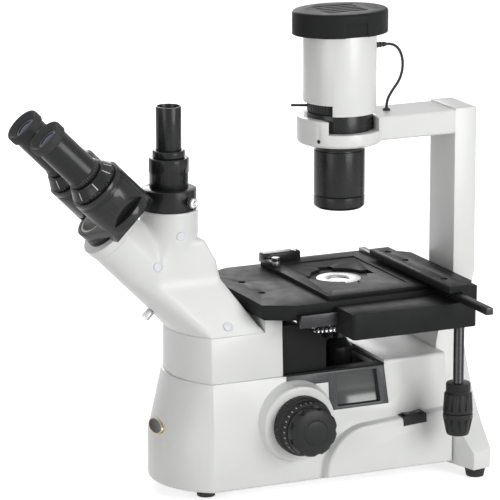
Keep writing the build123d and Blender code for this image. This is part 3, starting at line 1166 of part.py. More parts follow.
# Lamp pillar: its side profile, its flaring front profile and its foot plan, cut from each other
FLARE_RADIUS = (
    (LEG_HALF - PILLAR_HALF) ** 2 + (NECK_TOP_Z - LEG_TOP_Z) ** 2
) / (2 * (LEG_HALF - PILLAR_HALF))
FLARE_MIDDLE = asin((NECK_TOP_Z - LEG_TOP_Z) / FLARE_RADIUS) / 2
FLARE_POINT = (
    PILLAR_HALF + FLARE_RADIUS * (1 - cos(FLARE_MIDDLE)),
    NECK_TOP_Z - FLARE_RADIUS * sin(FLARE_MIDDLE),
)
with BuildPart() as lamp_pillar:
    pillar_side = side_outline(
        (BASE_BACK, FOOT_HEIGHT),
        (BASE_BACK, NECK_FOOT_Z),
        (PILLAR_FRONT, NECK_TOP_Z),
        (PILLAR_FRONT, PILLAR_TOP_Z),
        (PILLAR_BACK, PILLAR_TOP_Z),
        (PILLAR_BACK, NECK_TOP_Z),
        (FOOT_BACK, NECK_FOOT_Z),
        (FOOT_BACK, FOOT_HEIGHT),
    )
    extrude(to_extrude=pillar_side, amount=LEG_HALF, both=True)
    with BuildSketch(Plane.XZ) as pillar_front:
        with BuildLine():
            for side in (1, -1):
                Line((side * LEG_HALF, FOOT_HEIGHT), (side * LEG_HALF, LEG_TOP_Z))
                ThreePointArc(
                    (side * LEG_HALF, LEG_TOP_Z),
                    (side * FLARE_POINT[0], FLARE_POINT[1]),
                    (side * PILLAR_HALF, NECK_TOP_Z),
                )
                Line((side * PILLAR_HALF, NECK_TOP_Z), (side * PILLAR_HALF, PILLAR_TOP_Z))
            Line((-LEG_HALF, FOOT_HEIGHT), (LEG_HALF, FOOT_HEIGHT))
            Line((-PILLAR_HALF, PILLAR_TOP_Z), (PILLAR_HALF, PILLAR_TOP_Z))
        make_face()
    extrude(amount=-PILLAR_BACK, mode=Mode.INTERSECT)
    FOOT_PLAN = (
        (BASE_HALF, BASE_BACK),
        (LEG_HALF, LEG_FRONT),
        (LEG_BACK_HALF, FOOT_BACK),
        (PILLAR_HALF + PILLAR_ROUND, PILLAR_BACK),
    )
    with BuildSketch(Plane.XY):
        with BuildLine():
            Polyline(*FOOT_PLAN, *[(-x, y) for x, y in reversed(FOOT_PLAN)], close=True)
        make_face()
    extrude(amount=PILLAR_TOP_Z, mode=Mode.INTERSECT)
    with Locations((0, FOOT_BACK, INLET_Z)):
        Box(INLET_WIDTH, 2 * (FOOT_BACK - BASE_BACK + OVERRUN), INLET_HEIGHT, mode=Mode.SUBTRACT)
    seat_depth = PILLAR_FRONT - STAGE_BACK_SHOULDER_Y
    with Locations((0, STAGE_BACK_SHOULDER_Y, STAGE_FOOT_Z)):
        Box(2 * PILLAR_HALF, seat_depth + OVERRUN, STAGE_FOOT_Z - NECK_FOOT_Z,
            align=(Align.CENTER, Align.MIN, Align.MAX))
    with Locations((0, PILLAR_FRONT, STAGE_FOOT_Z)):
        Box(4 * PILLAR_HALF, 4 * seat_depth, STAGE_PLATE + STAGE_LIP + OVERRUN,
            align=(Align.CENTER, Align.MAX, Align.MIN), mode=Mode.SUBTRACT)
lamp_pillar.part.label = "lamp_pillar"
export_step(lamp_pillar.part, "parts/lamp_pillar.step")

ARM_SCREW_ANGLE = radians(LEVER_ANGLE + 2 * LEVER_CLOSE)
ARM_SCREW_START = COLLAR_RADIUS + FIT
ARM_SCREW_PLANE = Plane(
    origin=(ARM_SCREW_START * cos(ARM_SCREW_ANGLE), ARM_SCREW_START * sin(ARM_SCREW_ANGLE),
            (RING_FOOT_Z + NOTCH_Z) / 2),
    z_dir=(cos(ARM_SCREW_ANGLE), sin(ARM_SCREW_ANGLE), 0),
)

# Lamp arm: a beam from the pillar that ends in a ring, open on the near side for filters
with BuildPart() as lamp_arm:
    with BuildSketch(Plane.XY.offset(ARM_FOOT_Z)):
        with Locations((0, PILLAR_FRONT)):
            Rectangle(2 * PILLAR_HALF, PILLAR_FRONT, align=(Align.CENTER, Align.MAX))
    extrude(amount=ARM_TOP_Z - ARM_FOOT_Z)
    fillet(lamp_arm.edges().filter_by(Axis.Y), PILLAR_ROUND)
    with BuildSketch(Plane.XY.offset(RING_FOOT_Z)):
        Circle(RING_RADIUS)
    extrude(amount=ARM_TOP_Z - RING_FOOT_Z)
    ring_edges = lamp_arm.edges().filter_by(GeomType.CIRCLE).filter_by(
        lambda edge: edge.radius > RING_RADIUS - FIT
    )
    fillet(ring_edges.group_by(Axis.Z)[0], RING_ROUND)
    with Locations((0, 0, RING_FOOT_Z - OVERRUN)):
        Cylinder(COLLAR_RADIUS + FIT, ARM_TOP_Z - RING_FOOT_Z + 2 * OVERRUN, align=UP,
                 mode=Mode.SUBTRACT)
    with Locations((0, 0, NOTCH_Z)):
        Box(RING_RADIUS + OVERRUN, 2 * NOTCH_HALF, ARM_TOP_Z - NOTCH_Z + OVERRUN,
            align=(Align.MIN, Align.CENTER, Align.MIN), mode=Mode.SUBTRACT)
    with Locations(ARM_SCREW_PLANE):
        Cylinder(SCREW_RADIUS + FIT, 2 * (RING_RADIUS - COLLAR_RADIUS), align=UP, mode=Mode.SUBTRACT)
lamp_arm.part.label = "lamp_arm"
export_step(lamp_arm.part, "parts/lamp_arm.step")

# Lamp collar: held in the ring; its neck carries the housing and turns inside the iris ring
SHELF_Z = HOUSING_FOOT_Z + IRIS_HEIGHT + 2 * GAP
with BuildPart() as lamp_collar:
    collar = turned_outline(
        (CONDENSER_RADIUS, RING_FOOT_Z),
        (COLLAR_RADIUS, RING_FOOT_Z),
        (COLLAR_RADIUS, HOUSING_FOOT_Z),
        (NECK_RADIUS, HOUSING_FOOT_Z),
        (NECK_RADIUS, SHELF_Z),
        (CONDENSER_RADIUS, SHELF_Z),
    )
    revolve(collar, axis=Axis.Z)
lamp_collar.part.label = "lamp_collar"
export_step(lamp_collar.part, "parts/lamp_collar.step")

with BuildPart() as aperture_lever:
    with BuildSketch(Plane.XY.offset(HOUSING_FOOT_Z + GAP)):
        Circle(IRIS_RADIUS)
        Circle(NECK_RADIUS + GAP, mode=Mode.SUBTRACT)
    extrude(amount=IRIS_HEIGHT)
    lever_angle = radians(LEVER_ANGLE)
    lever_start = (IRIS_RADIUS + NECK_RADIUS) / 2
    lever_plane = Plane(
        origin=(lever_start * cos(lever_angle), lever_start * sin(lever_angle),
                HOUSING_FOOT_Z + IRIS_HEIGHT / 2),
        z_dir=(cos(lever_angle), sin(lever_angle), 0),
    )
    with BuildSketch(lever_plane):
        Circle(LEVER_RADIUS)
    extrude(amount=LEVER_REACH - lever_start)
aperture_lever.part.label = "aperture_lever"
export_step(aperture_lever.part, "parts/aperture_lever.step")

# Lamp housing: a can whose shelf rests on the neck; a window in its wall clears the lever
LEVER_ARC = degrees(asin(LEVER_RADIUS / IRIS_RADIUS)) + LEVER_SLOT_SPARE
WINDOW_START = LEVER_ANGLE - LEVER_CLOSE - LEVER_ARC
with BuildPart() as lamp_housing:
    can = turned_outline(
        (HOUSING_RADIUS, HOUSING_FOOT_Z),
        (HOUSING_RADIUS, HOUSING_TOP_Z),
        (HOUSING_RADIUS - HOUSING_WALL, HOUSING_TOP_Z),
        (HOUSING_RADIUS - HOUSING_WALL, SHELF_Z + HOUSING_FLOOR),
        (CONDENSER_RADIUS, SHELF_Z + HOUSING_FLOOR),
        (CONDENSER_RADIUS, SHELF_Z),
        (HOUSING_RADIUS - HOUSING_WALL, SHELF_Z),
        (HOUSING_RADIUS - HOUSING_WALL, HOUSING_FOOT_Z),
    )
    revolve(can, axis=Axis.Z)
    window_sweep = WINDOW_END - WINDOW_START
    window_cut = turned_outline(
        (COLLAR_RADIUS, HOUSING_FOOT_Z - OVERRUN),
        (HOUSING_RADIUS + OVERRUN, HOUSING_FOOT_Z - OVERRUN),
        (HOUSING_RADIUS + OVERRUN, SHELF_Z),
        (COLLAR_RADIUS, SHELF_Z),
    )
    revolve(Rot(0, 0, WINDOW_START) * window_cut, axis=Axis.Z, revolution_arc=window_sweep,
            mode=Mode.SUBTRACT)
    boot_z = CORD_ROUTE[0][2]
    with Locations((0, HOUSING_RADIUS, boot_z)):
        Cylinder(CORD_RADIUS, 4 * HOUSING_WALL, rotation=(90, 0, 0), mode=Mode.SUBTRACT)
lamp_housing.part.label = "lamp_housing"
export_step(lamp_housing.part, "parts/lamp_housing.step")

# Lamp cap: an oval lid with vent slots and a finger recess on the near side
with BuildPart() as lamp_cap:
    with BuildSketch(Plane.XY.offset(HOUSING_TOP_Z)):
        Ellipse(CAP_HALF_X, CAP_HALF_Y)
    extrude(amount=CAP_HEIGHT)
    fillet(lamp_cap.edges().group_by(Axis.Z)[-1], CAP_ROUND)
    with Locations((0, 0, HOUSING_TOP_Z - OVERRUN)):
        Cylinder(HOUSING_RADIUS - HOUSING_WALL, CAP_HEIGHT - CAP_WALL + OVERRUN, align=UP,
                 mode=Mode.SUBTRACT)
    with Locations((CAP_HALF_X - CAP_NOTCH_DEPTH, 0, HOUSING_TOP_Z - OVERRUN)):
        Box(2 * CAP_NOTCH_DEPTH, 2 * CAP_NOTCH_HALF, CAP_NOTCH_HEIGHT + OVERRUN,
            align=(Align.MIN, Align.CENTER, Align.MIN), mode=Mode.SUBTRACT)
    with BuildSketch(Plane.XY.offset(HOUSING_TOP_Z + CAP_HEIGHT)):
        with GridLocations(VENT_PITCH, 0, VENT_COUNT, 1):
            SlotOverall(VENT_LENGTH, VENT_WIDTH, rotation=90)
    extrude(amount=-2 * CAP_WALL, mode=Mode.SUBTRACT)
lamp_cap.part.label = "lamp_cap"
export_step(lamp_cap.part, "parts/lamp_cap.step")

# Lamp holder on the shelf: a ring, two posts and a socket, with the bulb hanging over the lens
HOLDER_Z = SHELF_Z + HOUSING_FLOOR
with BuildPart() as lamp_module:
    with BuildSketch(Plane.XY.offset(HOLDER_Z)):
        Circle(HOLDER_RADIUS + HOLDER_PLATE)
        Circle(HOLDER_BORE, mode=Mode.SUBTRACT)
    extrude(amount=HOLDER_PLATE)
    with Locations((0, 0, HOLDER_Z)):
        with GridLocations(2 * (HOLDER_BORE + HOLDER_POST), 0, 2, 1):
            Cylinder(HOLDER_POST / 2, HOLDER_HEIGHT, align=UP)
    with Locations((0, 0, HOLDER_Z + HOLDER_HEIGHT)):
        Box(2 * (HOLDER_BORE + 2 * HOLDER_POST), 3 * HOLDER_POST, SOCKET_HEIGHT, align=DOWN)
    bulb_top = HOLDER_Z + HOLDER_HEIGHT - SOCKET_HEIGHT
    with Locations((0, 0, bulb_top)):
        Cylinder(BULB_RADIUS, BULB_HEIGHT - BULB_RADIUS, align=DOWN)
    with Locations((0, 0, bulb_top - BULB_HEIGHT + BULB_RADIUS)):
        Sphere(BULB_RADIUS)
lamp_module.part.label = "lamp_module"
export_step(lamp_module.part, "parts/lamp_module.step")

# Condenser: the tube hangs in the collar, a ring screws on below and holds the lens
with BuildPart() as condenser_tube:
    tube = turned_outline(
        (CONDENSER_BORE, CONDENSER_RING_Z),
        (CONDENSER_RADIUS - CONDENSER_GROOVE, CONDENSER_RING_Z),
        (CONDENSER_RADIUS - CONDENSER_GROOVE, CONDENSER_RING_Z + CONDENSER_GROOVE),
        (CONDENSER_RADIUS - FIT, CONDENSER_RING_Z + CONDENSER_GROOVE),
        (CONDENSER_RADIUS - FIT, SHELF_Z),
        (CONDENSER_BORE, SHELF_Z),
    )
    revolve(tube, axis=Axis.Z)
condenser_tube.part.label = "condenser_tube"
export_step(condenser_tube.part, "parts/condenser_tube.step")

with BuildPart() as condenser_ring:
    ring = turned_outline(
        (CONDENSER_BORE, CONDENSER_FOOT_Z),
        (CONDENSER_RADIUS - 2 * CONDENSER_GROOVE, CONDENSER_FOOT_Z),
        (CONDENSER_RADIUS, CONDENSER_FOOT_Z + 2 * CONDENSER_GROOVE),
        (CONDENSER_RADIUS, CONDENSER_RING_Z - CONDENSER_GROOVE),
        (CONDENSER_RADIUS - CONDENSER_GROOVE, CONDENSER_RING_Z),
        (CONDENSER_BORE, CONDENSER_RING_Z),
    )
    revolve(ring, axis=Axis.Z)
condenser_ring.part.label = "condenser_ring"
export_step(condenser_ring.part, "parts/condenser_ring.step")

CONDENSER_LENS_Z = CONDENSER_FOOT_Z + 2 * CONDENSER_GROOVE
with BuildPart() as condenser_lenses:
    with Locations((0, 0, CONDENSER_LENS_Z)):
        Cylinder(CONDENSER_BORE, CONDENSER_LENS_THICK, align=UP)
    with Locations((0, 0, SHELF_Z)):
        Cylinder(CONDENSER_BORE, COLLECTOR_THICK, align=DOWN)
condenser_lenses.part.label = "condenser_lenses"
export_step(condenser_lenses.part, "parts/condenser_lenses.step")

# Screws: pan heads under the base plate, cap screws in the stage, one set screw in the arm
with BuildPart() as stand_screws:
    with Locations(*[(x, y, FOOT_HEIGHT) for x, y in BASE_SCREW_PLACES]):
        Cylinder(SCREW_HEAD_RADIUS, SCREW_HEAD, align=DOWN)
    with Locations((STAGE_SCREW_X, STAGE_SCREW_Y, STAGE_Z - SCREW_HEAD),
                   (-STAGE_SCREW_X, STAGE_SCREW_Y, STAGE_Z - SCREW_HEAD)):
        Cylinder(SCREW_HEAD_RADIUS - FIT, SCREW_HEAD, align=DOWN)
        Cylinder(SCREW_RADIUS - FIT, STAGE_PLATE + STAGE_LIP - SCREW_HEAD, align=DOWN)
    with Locations(ARM_SCREW_PLANE):
        Cylinder(SCREW_RADIUS, RING_RADIUS - COLLAR_RADIUS - FIT, align=UP)
stand_screws.part.label = "stand_screws"
export_step(stand_screws.part, "parts/stand_screws.step")

# Lamp cord with its boot on the housing and its grommet on the arm
BOOT_START = HOUSING_RADIUS
with BuildPart() as cord_boots:
    boot_plane = Plane(origin=(0, BOOT_START, boot_z), z_dir=(0, 1, 0))
    with BuildSketch(boot_plane):
        Circle(BOOT_RADIUS)
    with BuildSketch(boot_plane.offset(CORD_ROUTE[0][1] - BOOT_START)):
        Circle(BOOT_TIP_RADIUS)
    loft()
    for rib in range(BOOT_RIBS):
        rib_pitch = (CORD_ROUTE[0][1] - BOOT_START) / (BOOT_RIBS + 1)
        with BuildSketch(boot_plane.offset((rib + 1 / 2) * rib_pitch)):
            Circle(BOOT_RADIUS + GAP)
        extrude(amount=rib_pitch / 2)
    with Locations((0, CORD_ROUTE[-1][1], ARM_TOP_Z)):
        Cylinder(GROMMET_RADIUS, GROMMET_HEIGHT, align=UP)
cord_boots.part.label = "cord_boots"
export_step(cord_boots.part, "parts/cord_boots.step")

CORD_END = (0, CORD_ROUTE[-1][1], ARM_TOP_Z + GROMMET_HEIGHT)
CORD_POINTS = [Vector(*point) for point in CORD_ROUTE] + [Vector(*CORD_END)]
CORD_ARCS = []
for before, corner, after in zip(CORD_POINTS, CORD_POINTS[1:], CORD_POINTS[2:]):
    turn = radians((corner - before).get_angle(after - corner))
    shorter = min((corner - before).length, (after - corner).length)
    CORD_ARCS.append(0.45 * shorter / tan(turn / 2))
print("lamp cord radii", [round(radius, 1) for radius in CORD_ARCS])
with BuildPart() as lamp_cord:
    with BuildLine() as cord_path:
        FilletPolyline(*CORD_POINTS, radius=CORD_ARCS)
    cord_wire = cord_path.wire()
    with BuildSketch(Plane(origin=cord_wire @ 0, z_dir=cord_wire % 0)):
        Circle(CORD_RADIUS)
    sweep(path=cord_wire)
print("lamp cord length", round(cord_wire.length, 1), "volume", round(lamp_cord.part.volume, 1),
      "section times length", round(pi * CORD_RADIUS ** 2 * cord_wire.length, 1))
lamp_cord.part.label = "lamp_cord"
export_step(lamp_cord.part, "parts/lamp_cord.step")

# Head housing: a flaring foot on the column, the inclined tube and the vertical port
EYE_AXIS = Vector(0, -sin(pi / 4), cos(pi / 4))
HEAD_ORIGIN = Vector(0, HEAD_AXIS_SUM / 2, HEAD_AXIS_SUM / 2)


def along_tube(distance):
    """A plane across the inclined tube, its Z along the tube and its Y up and away."""
    return Plane(origin=HEAD_ORIGIN + EYE_AXIS * distance, x_dir=(1, 0, 0), z_dir=EYE_AXIS)


PLUG_PLACES = ((PORT_Y, 248.6), (-196.8, 222.3), (-135.9, 164.6))
BEAM_MEET = Vector(0, PORT_Y, HEAD_AXIS_SUM - PORT_Y)
TUBE_START = (BEAM_MEET - HEAD_ORIGIN).dot(EYE_AXIS)
CHAMBER_PLANE = along_tube(TUBE_START)
ROD_AXIS = Vector(0, -sin(pi / 4), -cos(pi / 4))
ROD_PLANE = Plane(origin=BEAM_MEET, x_dir=(1, 0, 0), z_dir=ROD_AXIS)
with BuildPart() as head_housing:
    foot_face = plan_outline(
        COLUMN_TOP_HALF, COLUMN_NOSE_Y, COLUMN_CREASE_Y, HEAD_BACK, COLUMN_SEAM_Z
    ).face()
    waist_face = plan_outline(
        HEAD_WAIST_HALF, HEAD_WAIST_NOSE, HEAD_WAIST_CREASE, HEAD_WAIST_BACK, HEAD_WAIST_Z
    ).face()
    shoulder_face = plan_outline(
        HEAD_SHOULDER_HALF, HEAD_SHOULDER_NOSE, HEAD_SHOULDER_CREASE, HEAD_SHOULDER_BACK,
        HEAD_SHOULDER_Z,
    ).face()
    loft([foot_face, waist_face], ruled=True)
    loft([waist_face, shoulder_face], ruled=True)
    with BuildSketch(CHAMBER_PLANE):
        Circle(TUBE_RADIUS)
    extrude(amount=RIM_START - TUBE_START)
    with Locations((0, PORT_Y, HEAD_WAIST_Z)):
        Cylinder(PORT_RADIUS, PORT_TOP_Z - HEAD_WAIST_Z, align=UP)
    PLUG_PLANES = []
    for y, z in PLUG_PLACES:
        probe = Axis((COLUMN_HALF, y, z), (-1, 0, 0))
        hits = [hit for face in head_housing.faces() for hit in face.find_intersection_points(probe)]
        point, normal = max(hits, key=lambda hit: hit[0].X)
        PLUG_PLANES.append(Plane(origin=point, z_dir=normal if normal.X > 0 else -normal))
    for plug_plane in PLUG_PLANES:
        with BuildSketch(plug_plane.offset(-PLUG_DEPTH)):
            Circle(PLUG_RADIUS + FIT)
        extrude(amount=PLUG_DEPTH + OVERRUN, mode=Mode.SUBTRACT)
    with BuildSketch(CHAMBER_PLANE):
        Circle(EYE_BORE)
    extrude(amount=RIM_START - TUBE_START + OVERRUN, mode=Mode.SUBTRACT)
    with Locations((0, PORT_Y, HEAD_WAIST_Z)):
        Cylinder(PORT_BORE, PORT_TOP_Z - HEAD_WAIST_Z + OVERRUN, align=UP, mode=Mode.SUBTRACT)
    with Locations((0, BEAM_Y, COLUMN_SEAM_Z - OVERRUN)):
        Cylinder(BEAM_RADIUS, RELAY_Z + BEAM_RADIUS - COLUMN_SEAM_Z + OVERRUN, align=UP,
                 mode=Mode.SUBTRACT)
    with Locations(Plane(origin=(0, BEAM_Y, RELAY_Z), z_dir=(0, -1, 0))):
        Cylinder(BEAM_RADIUS, BEAM_Y - PORT_Y, align=UP, mode=Mode.SUBTRACT)
    chamber = PRISM_SIZE + 2 * CHAMBER_MARGIN
    with Locations(ROD_PLANE.offset(-chamber / 2)):
        Box(chamber, chamber, chamber + ROD_TRAVEL, align=UP, mode=Mode.SUBTRACT)
        Cylinder(ROD_RADIUS + FIT, 3 * chamber, align=UP, mode=Mode.SUBTRACT)
head_housing.part.label = "head_housing"
export_step(head_housing.part, "parts/head_housing.step")

# Rim ring: closes the inclined tube and carries the binocular pivot
PIVOT_PIN_RADIUS = PIVOT_DISC_RADIUS - 4 * GRIP_DEPTH
with BuildPart() as head_ring:
    with BuildSketch(along_tube(RIM_START)):
        Circle(RIM_RADIUS)
        Circle(EYE_BORE - 4 * GRIP_DEPTH, mode=Mode.SUBTRACT)
    extrude(amount=RIM_END - RIM_START)
    with BuildSketch(along_tube(RIM_END)):
        Circle(PIVOT_PIN_RADIUS)
        Circle(EYE_BORE - 4 * GRIP_DEPTH, mode=Mode.SUBTRACT)
    extrude(amount=2 * WEB_HEIGHT + 2 * GAP)
head_ring.part.label = "head_ring"
export_step(head_ring.part, "parts/head_ring.step")

# Port plugs: three pale discs pressed into the near side
with BuildPart() as port_plugs:
    for plug_plane in PLUG_PLANES:
        with BuildSketch(plug_plane.offset(-PLUG_DEPTH)):
            Circle(PLUG_RADIUS)
        extrude(amount=PLUG_DEPTH + GAP)
port_plugs.part.label = "port_plugs"
export_step(port_plugs.part, "parts/port_plugs.step")

# Photo port: dovetail ring, collar and sleeve with the open tube, and the clamp screw
DOVETAIL_TOP = PORT_TOP_Z + DOVETAIL_HEIGHT
with BuildPart() as dovetail_ring:
    dovetail = turned_outline(
        (PORT_BORE, PORT_TOP_Z),
        (DOVETAIL_RADIUS - GRIP_DEPTH, PORT_TOP_Z),
        (DOVETAIL_RADIUS, PORT_TOP_Z + GRIP_DEPTH),
        (DOVETAIL_RADIUS, DOVETAIL_TOP - GRIP_DEPTH),
        (DOVETAIL_RADIUS - 2 * GRIP_DEPTH, DOVETAIL_TOP),
        (PORT_BORE, DOVETAIL_TOP),
    )
    with Locations((0, PORT_Y, 0)):
        add(revolve(dovetail, axis=Axis.Z, mode=Mode.PRIVATE))
    clamp_angle = radians(CLAMP_ANGLE)
    clamp_plane = Plane(
        origin=(0, PORT_Y, (PORT_TOP_Z + DOVETAIL_TOP) / 2),
        z_dir=(cos(clamp_angle), sin(clamp_angle), 0),
    )
    clamp_boss = DOVETAIL_RADIUS + 2 * GRIP_DEPTH
    with Locations(clamp_plane):
        Cylinder(2 * CLAMP_SCREW_RADIUS, clamp_boss, align=UP)
        Cylinder(CLAMP_SCREW_RADIUS + FIT, 2 * clamp_boss, align=UP, mode=Mode.SUBTRACT)
    with Locations((0, PORT_Y, PORT_TOP_Z - OVERRUN)):
        Cylinder(PORT_BORE, DOVETAIL_HEIGHT + 2 * OVERRUN, align=UP, mode=Mode.SUBTRACT)
dovetail_ring.part.label = "dovetail_ring"
export_step(dovetail_ring.part, "parts/dovetail_ring.step")

with BuildPart() as clamp_screw:
    with Locations(clamp_plane.offset(PORT_BORE + 4 * GRIP_DEPTH)):
        Cylinder(CLAMP_SCREW_RADIUS, clamp_boss + CLAMP_REACH - PORT_BORE - 4 * GRIP_DEPTH, align=UP)
    with Locations(clamp_plane.offset(clamp_boss + CLAMP_REACH - CLAMP_KNOB_LENGTH)):
        Cylinder(CLAMP_KNOB_RADIUS, CLAMP_KNOB_LENGTH, align=UP)
clamp_screw.part.label = "clamp_screw"
export_step(clamp_screw.part, "parts/clamp_screw.step")

SLEEVE_Z = DOVETAIL_TOP + COLLAR_PORT_HEIGHT
PHOTO_TUBE_Z = SLEEVE_Z + SLEEVE_HEIGHT
with BuildPart() as photo_collar:
    collar_port = turned_outline(
        (PHOTO_SPIGOT_RADIUS, DOVETAIL_TOP),
        (COLLAR_PORT_RADIUS, DOVETAIL_TOP),
        (COLLAR_PORT_RADIUS, DOVETAIL_TOP + COLLAR_PORT_HEIGHT / 2),
        (COLLAR_PORT_RADIUS + GRIP_DEPTH / 2, DOVETAIL_TOP + COLLAR_PORT_HEIGHT / 2 + GRIP_DEPTH),
        (COLLAR_PORT_RADIUS + GRIP_DEPTH / 2, SLEEVE_Z - GRIP_DEPTH),
        (COLLAR_PORT_RADIUS - GRIP_DEPTH / 2, SLEEVE_Z),
        (SLEEVE_RADIUS - GRIP_DEPTH, SLEEVE_Z),
        (SLEEVE_RADIUS, SLEEVE_Z + GRIP_DEPTH),
        (SLEEVE_RADIUS, PHOTO_TUBE_Z - GRIP_DEPTH),
        (SLEEVE_RADIUS - GRIP_DEPTH, PHOTO_TUBE_Z),
        (PHOTO_SPIGOT_RADIUS, PHOTO_TUBE_Z),
    )
    with Locations((0, PORT_Y, 0)):
        add(revolve(collar_port, axis=Axis.Z, mode=Mode.PRIVATE))
photo_collar.part.label = "photo_collar"
export_step(photo_collar.part, "parts/photo_collar.step")

with BuildPart() as photo_tube:
    open_tube = turned_outline(
        (PHOTO_RADIUS - PHOTO_WALL, DOVETAIL_TOP),
        (PHOTO_SPIGOT_RADIUS, DOVETAIL_TOP),
        (PHOTO_SPIGOT_RADIUS, PHOTO_TUBE_Z),
        (PHOTO_RADIUS, PHOTO_TUBE_Z),
        (PHOTO_RADIUS, PHOTO_TOP_Z),
        (PHOTO_RADIUS - PHOTO_WALL, PHOTO_TOP_Z),
    )
    with Locations((0, PORT_Y, 0)):
        add(revolve(open_tube, axis=Axis.Z, mode=Mode.PRIVATE))
photo_tube.part.label = "photo_tube"
export_step(photo_tube.part, "parts/photo_tube.step")

# Light path rod: pulls its prism out of the beam
ROD_START = PRISM_SIZE / 2
ROD_FACE = 27.0
with BuildPart() as path_rod:
    with Locations(ROD_PLANE.offset(ROD_START)):
        Cylinder(ROD_RADIUS, ROD_FACE - ROD_START, align=UP)
    with Locations(ROD_PLANE.offset(ROD_FACE)):
        Cylinder(ROD_KNOB_RADIUS, ROD_KNOB_LENGTH, align=UP)
    chamfer(path_rod.edges().filter_by(GeomType.CIRCLE).sort_by(Axis.Z)[0], GRIP_DEPTH)
    with Locations(ROD_PLANE):
        Box(PRISM_SIZE, PRISM_SIZE, PRISM_SIZE)
path_rod.part.label = "path_rod"
export_step(path_rod.part, "parts/path_rod.step")

# Binocular: two prism boxes that swing about the pivot, each with its scale ring and eyepiece
EYE_RISE = sqrt(PIVOT_RADIUS ** 2 - EYE_HALF ** 2)
BOX_START = RIM_END + GAP
BOX_TOP_START = BOX_START + 2 * WEB_HEIGHT + 2 * GAP
SCALE_START = BOX_TOP + GAP
SCALE_END = SCALE_START + SCALE_HEIGHT
EYEPIECE_START = SCALE_END + GAP


def web_outline(side, level):
    """Pivot disc and eyepiece circle joined by their two outer tangents."""
    lean = atan2(EYE_RISE, EYE_HALF)
    spread = acos((PIVOT_DISC_RADIUS - BOX_RADIUS) / PIVOT_RADIUS)
    corners = []
    for turn in (lean + spread, lean - spread):
        for x, y, radius in ((0, 0, PIVOT_DISC_RADIUS), (EYE_HALF, EYE_RISE, BOX_RADIUS)):
            corners.append((side * (x + radius * cos(turn)), y + radius * sin(turn)))
    with BuildSketch(along_tube(level)) as outline:
        Circle(PIVOT_DISC_RADIUS)
        with Locations((side * EYE_HALF, EYE_RISE)):
            Circle(BOX_RADIUS)
        with BuildLine():
            Polyline(corners[0], corners[1], corners[3], corners[2], close=True)
        make_face()
        with Locations((side * WEB_MARGIN, 0)):
            Rectangle(BOX_RADIUS, 4 * BOX_RADIUS, mode=Mode.SUBTRACT,
                      align=(Align.MAX if side > 0 else Align.MIN, Align.CENTER))
        Circle(PIVOT_DISC_RADIUS)
    return outline.sketch


